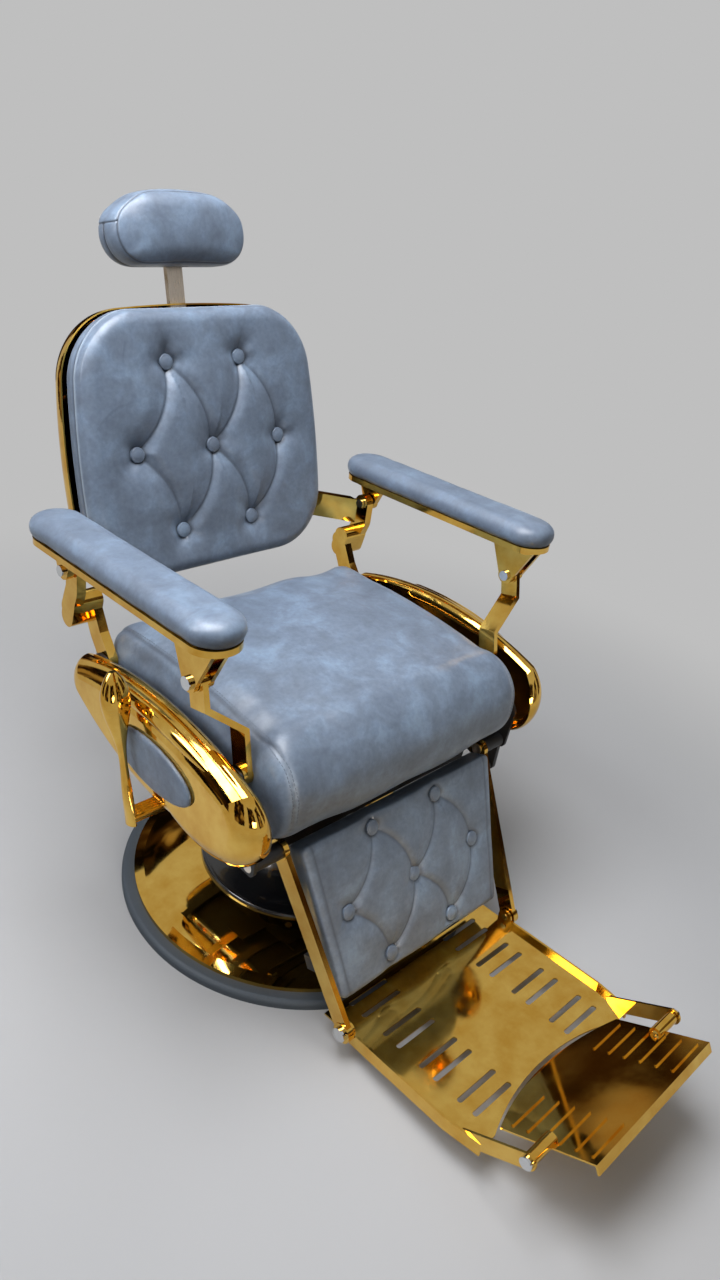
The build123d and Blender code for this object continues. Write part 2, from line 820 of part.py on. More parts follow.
with BuildPart() as pump_head:
    pump_head_inner_x = mount_plate_size / 2
    pump_head_length = pump_head_outer_x - pump_head_inner_x
    with BuildSketch(Plane.XY.offset(frame_bottom)):
        with Locations((-pump_head_inner_x - pump_head_length / 2, lever_axis[0])):
            Rectangle(pump_head_length, pump_head_width)
    extrude(amount=-pump_head_height)
    bush_end = -pump_head_outer_x + bush_length
    add(
        shaft(-pump_head_outer_x - 1, bush_end, lever_axis, lever_bush_radius),
        mode=Mode.SUBTRACT,
    )
save(pump_head, "pump_head")

with BuildPart() as lever_bush:
    add(shaft(-pump_head_outer_x, bush_end, lever_axis, lever_bush_radius))
    add(
        shaft(
            -pump_head_outer_x - 1, bush_end + 1, lever_axis,
            lever_shaft_radius + running_gap,
        ),
        mode=Mode.SUBTRACT,
    )
save(lever_bush, "lever_bush")

# ==== pump lever ====
with BuildPart() as lever_bar:
    add(shaft(-pump_head_outer_x - 2 * side_gap, bush_end - side_gap, lever_axis, lever_shaft_radius))
    with BuildSketch(Plane.YZ.offset(-lever_x)):
        with Locations(lever_axis):
            RectangleRounded(lever_bar_width, lever_bar_thickness, 5)
        rib_spacing = (lever_bar_width - 8) / (lever_bar_ribs - 1)
        for side in (-1, 1):
            with Locations((lever_axis[0], lever_axis[1] + side * lever_bar_thickness / 2)):
                with GridLocations(rib_spacing, 1, lever_bar_ribs, 1):
                    Circle(1.2)
    extrude(amount=lever_x - pump_head_outer_x - 2 * side_gap)
save(lever_bar, "lever_bar")

with BuildPart() as lever_handle:
    # distance up the handle, width along X, depth along Y
    handle_slices = (
        (-14.0, 13.0, 26.0),
        (16.0, 14.0, 24.0),
        (70.0, 13.0, 13.0),
        (112.0, 15.0, 13.0),
        (150.0, 32.0, 22.0),
        (186.0, 46.0, 32.0),
        (212.0, 38.0, 27.0),
        (lever_length - 2, 12.0, 10.0),
    )
    handle_plane = Plane(
        origin=(-lever_x, lever_axis[0], lever_axis[1]),
        x_dir=(1, 0, 0),
        z_dir=(0, sin(radians(lever_lean)), cos(radians(lever_lean))),
    )
    for height, width, depth in handle_slices:
        with BuildSketch(handle_plane.offset(height)):
            Ellipse(width / 2, depth / 2)
    loft()
    with BuildSketch(Plane.YZ.offset(-lever_x)):
        with Locations(lever_axis):
            RectangleRounded(lever_bar_width + 4, lever_bar_thickness + 6, 6)
    extrude(amount=8, mode=Mode.SUBTRACT)
save(lever_handle, "lever_handle")


# ==== backrest ====
def back_outline(inset):
    half_top = back_half_width - 26
    half_bottom = back_half_width - 12
    with BuildSketch() as outline:
        with BuildLine():
            ThreePointArc((-half_top, back_top - 12), (0, back_top), (half_top, back_top - 12))
            ThreePointArc((half_top, back_top - 12), (back_half_width, -40), (half_bottom, back_bottom))
            ThreePointArc((half_bottom, back_bottom), (0, back_bottom - 4), (-half_bottom, back_bottom))
            ThreePointArc((-half_bottom, back_bottom), (-back_half_width, -40), (-half_top, back_top - 12))
        make_face()
        fillet(outline.vertices().sort_by(Axis.Y)[-2:], radius=back_top_radius)
        fillet(outline.vertices().sort_by(Axis.Y)[:2], radius=back_bottom_radius)
        if inset:
            offset(amount=-inset, mode=Mode.REPLACE)
    return outline.sketch


with BuildPart() as back_cushion:
    back_slices = (
        (back_rear, 10),
        (back_rear + 14, 2),
        (back_rear + 40, 0),
        (-4, 12),
        (back_crown - 5, 30),
        (back_crown, 58),
    )
    for height, inset in back_slices:
        with BuildSketch(back_plane.offset(height)):
            add(back_outline(inset))
    loft()
    add(
        tuft_tool(back_plane, back_crown, button_spacing, button_row_up, button_row_down),
        mode=Mode.SUBTRACT,
    )
save(back_cushion, "back_cushion")

back_buttons = make_buttons(back_plane, button_spacing, button_row_up, button_row_down)
save(back_buttons, "back_buttons")


def shell_hull(wall):
    # the full form of the back shell, or with a wall the hollow inside it, open to the cushion
    shell_front = back_rear + 8 + wall
    with BuildPart() as hull:
        for height, inset in (
            (shell_front, -shell_rim),
            (back_rear - shell_depth * 0.6 + wall, 6 - shell_rim),
            (back_rear - shell_depth + wall, 40),
        ):
            with BuildSketch(back_plane.offset(height)):
                add(back_outline(inset + wall))
        loft()
        # wide raised oval across the upper back
        for height, inset in (
            (back_rear - shell_depth * 0.5 + wall, 0),
            (back_rear - shell_depth - bulge_depth * 0.4 + wall, 7),
            (back_rear - shell_depth - bulge_depth * 0.85 + wall, 26),
            (back_rear - shell_depth - bulge_depth + wall, 52),
        ):
            with BuildSketch(back_plane.offset(height)):
                with Locations((0, bulge_centre)):
                    Ellipse(bulge_half_width - inset - wall, bulge_half_height - inset - wall)
        loft()
    return hull.part


with BuildPart() as back_shell:
    add(shell_hull(0))
    add(shell_hull(shell_wall), mode=Mode.SUBTRACT)
    with BuildSketch(back_plane.offset(bar_offset)):
        with Locations((0, back_top)):
            Rectangle(bar_width + 4 * side_gap, 80)
    extrude(amount=guide_half_depth, both=True, mode=Mode.SUBTRACT)
save(back_shell, "back_shell")

with BuildPart() as back_board:
    with BuildSketch(back_plane.offset(board_rear)):
        RectangleRounded(2 * (back_half_width - board_inset), back_top - back_bottom - 2 * board_inset, 60)
    extrude(amount=back_rear - board_rear)
save(back_board, "back_board")

with BuildPart() as back_standoffs:
    with BuildSketch(back_plane.offset(board_rear)):
        with Locations((0, back_bottom + standoff_up)):
            with GridLocations(standoff_spacing[0], standoff_spacing[1], 2, 2):
                Circle(standoff_radius)
    extrude(amount=back_rear - shell_depth + shell_wall - board_rear)
save(back_standoffs, "back_standoffs")

with BuildPart() as bar_guide:
    with BuildSketch(back_plane.offset(bar_offset)):
        with Locations((0, back_top - guide_down)):
            Rectangle(bar_width + 2 * guide_wall, guide_length)
    extrude(amount=guide_half_depth, both=True)
    with BuildSketch(back_plane.offset(bar_offset)):
        with Locations((0, back_top - guide_down)):
            Rectangle(bar_width + 2 * slide_gap, guide_length + 2)
    extrude(amount=bar_thickness / 2 + slide_gap, both=True, mode=Mode.SUBTRACT)
save(bar_guide, "bar_guide")


def rear_post(with_crank):
    # S-shaped casting from the recline pivot up to the rear end of the arm rail
    upper = [rear_arm_pivot, (rear_arm_pivot[0], rear_arm_pivot[1] - 38), post_knee]
    middle = [(post_knee[0] - 6, post_knee[1] + 12), (post_knee[0], post_knee[1] - 15)]
    lower = [post_knee, (recline_pivot[0] + 28, recline_pivot[1] + 34), recline_pivot]
    upper_outer = -post_eye_inner - post_thickness
    lower_outer = -corridor_inner - post_thickness
    with BuildPart() as post:
        add(band(upper, post_width, upper_outer, -post_eye_inner, post_bend))
        add(band(middle, post_width, upper_outer, -corridor_inner, post_bend))
        add(band(lower, post_width, lower_outer, -corridor_inner, post_bend))
        # rounded swelling behind the arm bolt
        add(shaft(upper_outer, -post_eye_inner, (rear_arm_pivot[0] + 20, rear_arm_pivot[1] - 13), 14))
        if with_crank:
            crank_end = (recline_pivot[0], recline_pivot[1] - crank_drop)
            crank_outer = -corridor_outer
            add(band([recline_pivot, crank_end], crank_width, crank_outer, -crank_inner, post_bend))
            add(shaft(-crank_inner, -corridor_inner, crank_end, push_pin_radius))
        add(
            shaft(-corridor_outer - 1, -corridor_inner + 1, recline_pivot, pivot_pin_radius + running_gap),
            mode=Mode.SUBTRACT,
        )
        add(
            shaft(upper_outer - 1, -post_eye_inner + 1, rear_arm_pivot, bolt_radius + running_gap),
            mode=Mode.SUBTRACT,
        )
    return post.part


with BuildPart() as rear_post_right:
    add(rear_post(with_crank=False))
save(rear_post_right, "rear_post_right")

with BuildPart() as rear_post_left:
    add(mirror(rear_post(with_crank=True), about=Plane.YZ))
save(rear_post_left, "rear_post_left")

with BuildPart() as back_bracket:
    # tapered arm from the post to the side of the back shell
    with BuildSketch(Plane.YZ.offset(-post_eye_inner)):
        with Locations(bracket_post_end):
            Rectangle(bracket_depth[0], bracket_height)
    with BuildSketch(Plane.YZ.offset(-back_half_width + bracket_reach)):
        with Locations(bracket_shell_end):
            Rectangle(bracket_depth[1], bracket_height)
    loft()
    add(shell_hull(0), mode=Mode.SUBTRACT)
    with BuildSketch(back_plane.offset(back_rear - side_gap)):
        add(back_outline(-side_gap))
    extrude(amount=-2 * back_rear, mode=Mode.SUBTRACT)
save_both(back_bracket, "back_bracket")

# ==== headrest ====
with BuildPart() as headrest_bar:
    with BuildSketch(back_plane.offset(bar_offset)):
        with Locations((0, (bar_bottom + headrest_along) / 2)):
            Rectangle(bar_width, headrest_along - bar_bottom)
    extrude(amount=bar_thickness / 2, both=True)
    add(shaft(-bar_width / 2, bar_width / 2, headrest_pivot, knuckle_radius))
    add(
        shaft(-bar_width, bar_width, headrest_pivot, headrest_pin_radius + running_gap),
        mode=Mode.SUBTRACT,
    )
save(headrest_bar, "headrest_bar")

with BuildPart() as headrest_pin:
    add(shaft(-bar_width, bar_width, headrest_pivot, headrest_pin_radius))
save(headrest_pin, "headrest_pin")


def bar_recess():
    # room for the bar and its knuckle inside the headrest through the whole tilt
    low = headrest_height / 2 + 4
    spread = low * tan(radians(headrest_tilt + 1)) + bar_thickness / 2 + side_gap
    eye = knuckle_radius + side_gap
    with BuildPart() as recess:
        with BuildSketch(Plane(origin=headrest_plane.origin, x_dir=headrest_plane.z_dir, z_dir=(1, 0, 0))):
            Circle(eye)
            with BuildLine():
                Polyline((-eye, 0), (eye, 0), (spread, low), (-spread, low), close=True)
            make_face()
        extrude(amount=bar_width / 2 + side_gap, both=True)
    return recess.part


with BuildPart() as headrest_board:
    with BuildSketch(headrest_plane.offset(-headrest_board_thickness / 2)):
        RectangleRounded(2 * headrest_half_width - 6, headrest_height - 6, headrest_corner)
    extrude(amount=headrest_board_thickness)
    add(bar_recess(), mode=Mode.SUBTRACT)
    add(headrest_pin.part, mode=Mode.SUBTRACT)
save(headrest_board, "headrest_board")

with BuildPart() as headrest_cushion:
    headrest_slices = (
        (headrest_board_thickness / 2 + soft_gap, 6),
        (headrest_board_thickness / 2 + 12, 0),
        (headrest_front - 18, 2),
        (headrest_front - 6, 14),
        (headrest_front, 30),
    )
    for height, inset in headrest_slices:
        with BuildSketch(headrest_plane.offset(height)):
            RectangleRounded(
                2 * (headrest_half_width - inset), headrest_height - 2 * inset,
                headrest_corner - inset * 0.4,
            )
    loft()
    add(bar_recess(), mode=Mode.SUBTRACT)
save(headrest_cushion, "headrest_cushion")

with BuildPart() as headrest_back_pad:
    for height, inset in (
        (headrest_board_thickness / 2 + soft_gap, 6),
        (headrest_rear - 8, 8),
        (headrest_rear, 24),
    ):
        with BuildSketch(headrest_plane.offset(-height)):
            RectangleRounded(
                2 * (headrest_half_width - inset), headrest_height - 2 * inset,
                headrest_corner - inset * 0.4,
            )
    loft()
    add(bar_recess(), mode=Mode.SUBTRACT)
save(headrest_back_pad, "headrest_back_pad")

# ==== arms ====
with BuildPart() as arm_pad:
    for height, inset in ((-0.5, 5), (-0.2, 0), (0.12, 0), (0.38, 7), (0.5, 20)):
        with BuildSketch(arm_plane.offset(height * arm_pad_thickness)):
            SlotOverall(arm_length - 2 * inset, arm_width - 2 * inset)
    loft()
save_pair(arm_pad, "arm_pad")


def arm_ear(centre, half_base, x_from, x_to):
    # tapered plate that hangs from the rail down to a round eye
    base_z = arm_rail_under(centre[0]) + rail_depth / 2
    with BuildPart() as ear:
        with BuildSketch(Plane.YZ.offset(x_from)):
            with BuildLine():
                Polyline(
                    (centre[0] - ear_radius, centre[1]),
                    (centre[0] + ear_radius, centre[1]),
                    (centre[0] + half_base, base_z),
                    (centre[0] - half_base, base_z),
                    close=True,
                )
            make_face()
            with Locations(centre):
                Circle(ear_radius)
        extrude(amount=x_to - x_from)
    return ear.part


def arm_rail_under(y):
    # height of the underside of the arm rail at y
    drop = arm_pad_thickness / 2 + rail_depth
    return arm_centre_z - (y - arm_centre_y) * tan(radians(arm_slope)) - drop / cos(radians(arm_slope))


with BuildPart() as arm_rail:
    with BuildSketch(arm_plane.offset(-arm_pad_thickness / 2)):
        SlotOverall(arm_length - 2 * rail_flange_inset, arm_width - 2 * rail_flange_inset)
    extrude(amount=-rail_flange_depth)
    with BuildSketch(arm_plane.offset(-arm_pad_thickness / 2)):
        SlotOverall(arm_length - rail_width, rail_width)
    extrude(amount=-rail_depth)
    add(arm_ear(front_arm_pivot, ear_half_base, -ear_inner_x - ear_thickness, -ear_inner_x))
    add(arm_ear(front_arm_pivot, ear_half_base, -ear_outer_x - ear_thickness, -ear_outer_x))
    add(arm_ear(rear_arm_pivot, lug_half_base, -lug_inner_x - lug_thickness, -lug_inner_x))
    add(
        shaft(-ear_outer_x - ear_thickness - 1, -ear_inner_x + 1, front_arm_pivot, bolt_radius),
        mode=Mode.SUBTRACT,
    )
    add(
        shaft(-lug_inner_x - lug_thickness - 1, -lug_inner_x + 1, rear_arm_pivot, bolt_radius),
        mode=Mode.SUBTRACT,
    )
save_pair(arm_rail, "arm_rail")

with BuildPart() as arm_bolts:
    # clevis bolt at the front link and pivot bolt at the rear post
    clevis_end = ear_outer_x + ear_thickness
    add(shaft(-clevis_end, -ear_inner_x, front_arm_pivot, bolt_radius))
    add(shaft(-clevis_end - bolt_radius, -clevis_end, front_arm_pivot, 2 * bolt_radius))
    add(shaft(-ear_inner_x, -ear_inner_x + bolt_radius, front_arm_pivot, 1.8 * bolt_radius))
    lug_end = lug_inner_x + lug_thickness
    post_end = post_eye_inner - side_gap
    add(shaft(-lug_end, -post_end, rear_arm_pivot, bolt_radius))
    add(shaft(-post_end, -post_end + bolt_radius, rear_arm_pivot, 1.8 * bolt_radius))
    add(shaft(-lug_end - bolt_radius, -lug_end, rear_arm_pivot, 1.8 * bolt_radius))
save_pair(arm_bolts, "arm_bolts")

# ==== front links: carry the front of the arms ====
link_plane = Plane(
    origin=(0, front_pivot[0], front_pivot[1]),
    x_dir=(1, 0, 0),
    z_dir=(0, -arm_vector[1] / arm_vector_length, arm_vector[0] / arm_vector_length),
)
with BuildPart() as front_link:
    jog_low, jog_high = link_jog
    jog_shift = link_thickness * 0.55
    with BuildSketch(link_plane):
        with BuildLine():
            Polyline(
                (-link_foot_x, 0),
                (-link_foot_x, jog_low),
                (-link_top_x, jog_high),
                (-link_top_x, arm_vector_length),
                (-link_top_x + link_thickness, arm_vector_length),
                (-link_top_x + link_thickness, jog_high + jog_shift),
                (-link_foot_x + link_thickness, jog_low + jog_shift),
                (-link_foot_x + link_thickness, 0),
                close=True,
            )
        make_face()
    extrude(amount=link_width / 2, both=True)
    add(shaft(-corridor_outer, -corridor_inner, front_pivot, link_width / 2))
    add(
        shaft(
            -ear_outer_x + side_gap, -ear_inner_x - ear_thickness - side_gap,
            front_arm_pivot, link_width / 2,
        )
    )
    add(
        shaft(-corridor_outer - 1, -corridor_inner + 1, front_pivot, pivot_pin_radius + running_gap),
        mode=Mode.SUBTRACT,
    )
    add(
        shaft(-ear_outer_x, -ear_inner_x - ear_thickness, front_arm_pivot, bolt_radius + open_pivot_gap),
        mode=Mode.SUBTRACT,
    )
save_pair(front_link, "front_link")

# ==== push link: turns the legrest with the backrest ====
with BuildPart() as push_link:
    push_rear = (recline_pivot[0], recline_pivot[1] - crank_drop)
    push_front = (leg_pivot[0], leg_pivot[1] - crank_drop)
    push_outer = crank_inner - side_gap
    add(band([push_rear, push_front], push_link_width, corridor_inner, push_outer, 1))
    add(
        shaft(corridor_inner - 1, push_outer + 1, push_rear, push_pin_radius + running_gap),
        mode=Mode.SUBTRACT,
    )
    add(
        shaft(corridor_inner - 1, push_outer + 1, push_front, push_pin_radius + open_pivot_gap),
        mode=Mode.SUBTRACT,
    )
save(push_link, "push_link")

# ==== legrest ====
def leg_hub(with_crank):
    # hub that turns on the stub axle
    with BuildPart() as hub:
        add(shaft(-corridor_outer, -leg_hub_outer, leg_pivot, leg_sleeve_radius))
        if with_crank:
            crank_end = (leg_pivot[0], leg_pivot[1] - crank_drop)
            add(band([leg_pivot, crank_end], crank_width, -corridor_outer, -crank_inner, 1))
            add(shaft(-crank_inner, -corridor_inner, crank_end, push_pin_radius))
        add(
            shaft(-corridor_outer - 1, -leg_hub_outer + 1, leg_pivot, leg_axle_radius + running_gap),
            mode=Mode.SUBTRACT,
        )
    return hub.part


with BuildPart() as leg_hubs:
    add(leg_hub(with_crank=False))
    add(mirror(leg_hub(with_crank=True), about=Plane.YZ))
save(leg_hubs, "leg_hubs")

rail_run = hypot(leg_pivot[0] - foot_hinge[0], leg_pivot[1] - foot_hinge[1])
rail_plane = Plane(
    origin=(0, foot_hinge[0], foot_hinge[1]),
    x_dir=(1, 0, 0),
    z_dir=(
        0,
        -(leg_pivot[1] - foot_hinge[1]) / rail_run,
        (leg_pivot[0] - foot_hinge[0]) / rail_run,
    ),
)
foot_boss_inner = foot_half_width + 2 * side_gap
foot_boss_outer = foot_boss_inner + leg_rail_thickness
foot_boss_face = foot_boss_outer + 2.5
with BuildPart() as leg_rail:
    # flat bar from the leg pivot down to the footrest hinge, leaning inwards on the way
    with BuildSketch(rail_plane):
        with BuildLine():
            Polyline(
                (-leg_hub_outer, rail_run),
                (-leg_hub_outer + leg_rail_thickness, rail_run),
                (-foot_boss_inner, 0),
                (-foot_boss_outer, 0),
                close=True,
            )
        make_face()
    extrude(amount=leg_rail_width / 2, both=True)
    add(shaft(-leg_hub_outer, -leg_hub_outer + leg_rail_thickness, leg_pivot, leg_rail_width * 0.6))
    add(shaft(-foot_boss_face, -foot_boss_inner, foot_hinge, foot_boss_radius))
    add(
        shaft(-leg_hub_outer - 1, -leg_axle_end_x + 1, leg_pivot, leg_axle_radius + running_gap),
        mode=Mode.SUBTRACT,
    )
    add(
        shaft(-foot_boss_face - 1, -foot_boss_inner + 1, foot_hinge, foot_bolt_radius),
        mode=Mode.SUBTRACT,
    )
save_both(leg_rail, "leg_rail")


def leg_half_width(along):
    # half width of the tapered leg pad at a place along it
    share = (along - leg_bottom) / (leg_top - leg_bottom)
    return leg_bottom_half + share * (leg_top_half - leg_bottom_half)


def leg_outline(inset):
    with BuildSketch() as outline:
        with BuildLine():
            Polyline(
                (-leg_bottom_half + inset, leg_bottom + inset),
                (leg_bottom_half - inset, leg_bottom + inset),
                (leg_top_half - inset, leg_top - inset),
                (-leg_top_half + inset, leg_top - inset),
                close=True,
            )
        make_face()
        fillet(outline.vertices(), radius=leg_corner)
    return outline.sketch


with BuildPart() as leg_pad:
    for height, inset in (
        (leg_rear, 6),
        (leg_rear + 12, 0),
        (-8, 1),
        (leg_crown - 5, 12),
        (leg_crown, 30),
    ):
        with BuildSketch(leg_plane.offset(height)):
            add(leg_outline(inset))
    loft()
    add(
        tuft_tool(leg_plane, leg_crown, leg_button_spacing, leg_button_up, leg_button_down),
        mode=Mode.SUBTRACT,
    )
save(leg_pad, "leg_pad")

leg_buttons = make_buttons(leg_plane, leg_button_spacing, leg_button_up, leg_button_down)
save(leg_buttons, "leg_buttons")

with BuildPart() as leg_board:
    with BuildSketch(leg_plane.offset(leg_rear - soft_gap)):
        add(leg_outline(10))
    extrude(amount=-leg_board_thickness)
save(leg_board, "leg_board")

with BuildPart() as leg_straps:
    # two U-shaped straps behind the board, their ends on the rails
    strap_front = leg_rear - soft_gap - leg_board_thickness
    strap_rear = strap_front - leg_strap_thickness
    for along in leg_strap_places:
        with BuildSketch(leg_plane.offset(strap_rear)):
            with Locations((0, along)):
                Rectangle(2 * leg_hub_outer, leg_strap_width)
        extrude(amount=leg_strap_thickness)
        inner_half = leg_half_width(along) + 3
        with BuildSketch(leg_plane.offset(strap_rear)):
            with Locations((0, along)):
                Rectangle(2 * leg_hub_outer, leg_strap_width)
                Rectangle(2 * inner_half, leg_strap_width, mode=Mode.SUBTRACT)
        extrude(amount=-leg_rear - 2 * leg_board_thickness)
    # the strap ends stop at the inner faces of the rails
    for side in (-1, 1):
        with BuildSketch(rail_plane):
            with BuildLine():
                Polyline(
                    (side * (leg_hub_outer - leg_rail_thickness), rail_run),
                    (side * 2 * leg_hub_outer, rail_run),
                    (side * 2 * leg_hub_outer, 0),
                    (side * foot_boss_inner, 0),
                    close=True,
                )
            make_face()
        extrude(amount=rail_run, both=True, mode=Mode.SUBTRACT)
save(leg_straps, "leg_straps")

# ==== footrest ====
with BuildPart() as foot_plate:
    sheet_top = foot_plane.offset(-foot_drop)
    front = -foot_length
    side_line = (
        (foot_half_width, foot_behind),
        (foot_half_width, foot_narrow_from),
        (wing_x, front),
    )
    with BuildSketch(sheet_top):
        with BuildLine():
            Polyline(
                (foot_arc_half, front),
                side_line[2],
                side_line[1],
                side_line[0],
                (-foot_half_width, foot_behind),
                (-foot_half_width, foot_narrow_from),
                (-wing_x, front),
                (-foot_arc_half, front),
            )
            ThreePointArc((-foot_arc_half, front), (0, front + foot_arc_rise), (foot_arc_half, front))
        make_face()
    extrude(amount=-foot_sheet)
    for side in (-1, 1):
        # side wall along the tapering edge
        wall_line = [
            (side * (foot_half_width - foot_wall_thickness / 2), foot_ear_radius),
            (side * (foot_half_width - foot_wall_thickness / 2), foot_narrow_from),
            (side * (wing_x - foot_wall_thickness / 2), front),
        ]
        with BuildSketch(sheet_top.offset(-foot_wall_down)):
            with BuildLine():
                Polyline(*wall_line)
            trace(line_width=foot_wall_thickness)
        extrude(amount=foot_wall_down + foot_wall_up)
        # pressed slots
        with BuildSketch(sheet_top):
            for pair in range(slot_pairs):
                for step in (0, slot_pitch):
                    slot_y = -slot_first - pair * slot_pair_pitch - step
                    with Locations((side * (slot_inner_x + slot_outer_x) / 2, slot_y)):
                        SlotOverall(slot_outer_x - slot_inner_x, slot_width)
        extrude(amount=-foot_sheet, mode=Mode.SUBTRACT)
    # ears of the hinge on the legrest and side wings that carry the tread
    wing_start_z = foot_wall_up - foot_drop - wing_height / 2
    wing_start = foot_plane.from_local_coords((0, front + wing_height, wing_start_z))
    for x_from in (-foot_half_width, foot_half_width - foot_wall_thickness):
        add(shaft(x_from, x_from + foot_wall_thickness, foot_hinge, foot_ear_radius))
        add(
            shaft(x_from - 1, x_from + foot_wall_thickness + 1, foot_hinge, foot_bolt_radius + running_gap),
            mode=Mode.SUBTRACT,
        )
    for x_from in (-wing_x, wing_x - wing_thickness):
        wing_line = [(wing_start.Y, wing_start.Z), tread_axis]
        add(band(wing_line, wing_height, x_from, x_from + wing_thickness, 1))
        add(
            shaft(x_from - 1, x_from + wing_thickness + 1, tread_axis, tread_bolt_radius),
            mode=Mode.SUBTRACT,
        )
save(foot_plate, "foot_plate")

with BuildPart() as foot_hinge_bolts:
    for side in (-1, 1):
        bolt_end = foot_half_width - foot_wall_thickness - side_gap
        inner, outer = sorted((side * bolt_end, side * foot_boss_face))
        add(shaft(inner, outer, foot_hinge, foot_bolt_radius))
        head_inner, head_outer = sorted((side * foot_boss_face, side * (foot_boss_face + foot_bolt_radius)))
        add(shaft(head_inner, head_outer, foot_hinge, 2 * foot_bolt_radius))
save(foot_hinge_bolts, "foot_hinge_bolts")

# ==== tread: the flap in front of the footrest ====
with BuildPart() as tread_plate:
    tread_top = tread_plane.offset(-tread_drop)
    with BuildSketch(tread_top):
        with BuildLine():
            Polyline(
                (tread_half_width, tread_rear),
                (tread_half_width, -tread_front),
                (-tread_half_width, -tread_front),
                (-tread_half_width, tread_rear),
            )
            ThreePointArc(
                (-tread_half_width, tread_rear),
                (0, tread_rear + foot_arc_rise),
                (tread_half_width, tread_rear),
            )
        make_face()
    extrude(amount=-tread_sheet)
    # front skirt
    with BuildSketch(tread_top):
        with Locations((0, -tread_front + tread_sheet / 2)):
            Rectangle(2 * tread_half_width, tread_sheet)
    extrude(amount=-tread_skirt)
    with BuildSketch(tread_top):
        for side in (-1, 1):
            with Locations((side * (rib_inner_x + rib_outer_x) / 2, 0)):
                with GridLocations(1, rib_pitch, 1, rib_count):
                    SlotOverall(rib_outer_x - rib_inner_x, rib_width)
    extrude(amount=rib_height)
    for x_from in (-wing_x + wing_thickness + side_gap, knuckle_inner_x):
        knuckle_end = x_from + wing_x - wing_thickness - side_gap - knuckle_inner_x
        add(shaft(x_from, knuckle_end, tread_axis, knuckle_outer))
        add(
            shaft(x_from - 1, knuckle_end + 1, tread_axis, tread_bolt_radius + running_gap),
            mode=Mode.SUBTRACT,
        )
save(tread_plate, "tread_plate")

with BuildPart() as tread_bolts:
    for side in (-1, 1):
        inner, outer = sorted((side * (knuckle_inner_x + side_gap), side * wing_x))
        add(shaft(inner, outer, tread_axis, tread_bolt_radius))
        head_inner, head_outer = sorted((side * wing_x, side * (wing_x + tread_bolt_radius)))
        add(shaft(head_inner, head_outer, tread_axis, 2 * tread_bolt_radius))
save(tread_bolts, "tread_bolts")
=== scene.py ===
import json
import math
import bmesh
import bpy
from mathutils import Matrix, Vector, noise
from mathutils.bvhtree import BVHTree

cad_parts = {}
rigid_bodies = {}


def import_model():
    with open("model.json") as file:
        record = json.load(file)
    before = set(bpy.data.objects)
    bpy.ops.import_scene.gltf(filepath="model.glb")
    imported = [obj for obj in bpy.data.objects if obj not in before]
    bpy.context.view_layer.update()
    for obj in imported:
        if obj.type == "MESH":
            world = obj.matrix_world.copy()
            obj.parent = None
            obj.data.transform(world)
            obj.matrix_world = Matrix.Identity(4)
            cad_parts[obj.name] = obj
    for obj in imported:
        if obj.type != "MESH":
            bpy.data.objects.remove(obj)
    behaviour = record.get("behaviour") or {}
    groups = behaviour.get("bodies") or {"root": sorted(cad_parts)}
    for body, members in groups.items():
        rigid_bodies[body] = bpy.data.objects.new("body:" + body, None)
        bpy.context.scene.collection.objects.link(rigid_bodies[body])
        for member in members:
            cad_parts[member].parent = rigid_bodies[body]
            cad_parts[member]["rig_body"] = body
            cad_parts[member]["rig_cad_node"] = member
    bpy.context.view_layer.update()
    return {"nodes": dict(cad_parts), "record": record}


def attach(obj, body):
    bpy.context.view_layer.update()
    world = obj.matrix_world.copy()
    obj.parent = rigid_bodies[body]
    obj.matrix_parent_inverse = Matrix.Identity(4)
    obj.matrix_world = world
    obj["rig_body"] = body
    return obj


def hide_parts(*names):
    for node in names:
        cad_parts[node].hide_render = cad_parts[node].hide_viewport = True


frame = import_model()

nodes = frame["nodes"]
print("stage: frame loaded,", len(nodes), "CAD nodes")

mm = 0.001


def fadeOut(distance, width):
    # 1 at no distance, fading smoothly to nothing past about two widths
    return math.exp(-((distance / width) ** 2))


def linear(hexText):
    # sRGB hex to the linear colour Blender works in
    values = []
    for start in (0, 2, 4):
        part = int(hexText[start:start + 2], 16) / 255
        values.append(part / 12.92 if part <= 0.04045 else ((part + 0.055) / 1.055) ** 2.4)
    return (*values, 1.0)


def addNode(tree, kind, settings=None, values=None, links=None, stops=None):
    # a node with its settings, socket values, incoming links and, on a ramp, its colour stops
    node = tree.nodes.new(kind)
    for name, value in (settings or {}).items():
        setattr(node, name, value)
    for name, value in (values or {}).items():
        node.inputs[name].default_value = value
    for name, source in (links or {}).items():     # a source is a socket, or a node for its first output
        socket = source.outputs[0] if isinstance(source, bpy.types.Node) else source
        tree.links.new(socket, node.inputs[name])
    if stops:
        elements = node.color_ramp.elements
        while len(elements) < len(stops):
            elements.new(0.5)
        for element, (place, colour) in zip(elements, stops):
            element.position = place
            element.color = colour
    return node


def newMaterial(name):
    mat = bpy.data.materials.new(name)
    mat.use_nodes = True
    mat.node_tree.nodes.clear()
    place = addNode(mat.node_tree, "ShaderNodeTexCoord").outputs["Object"]
    return mat, mat.node_tree, place


# titanium-gold plating on polished steel and castings: mirror gloss, warm yellow, faint waves and smudges
goldLook = {
    "face": "ECC363", "deep": "D9A644", "smudge": 60 * mm, "wave": 90 * mm,
    "scratch": 1.6 * mm, "scratchDeep": 0.005 * mm, "scratchRun": 0.06,     # polishing lines, coarser than real
}


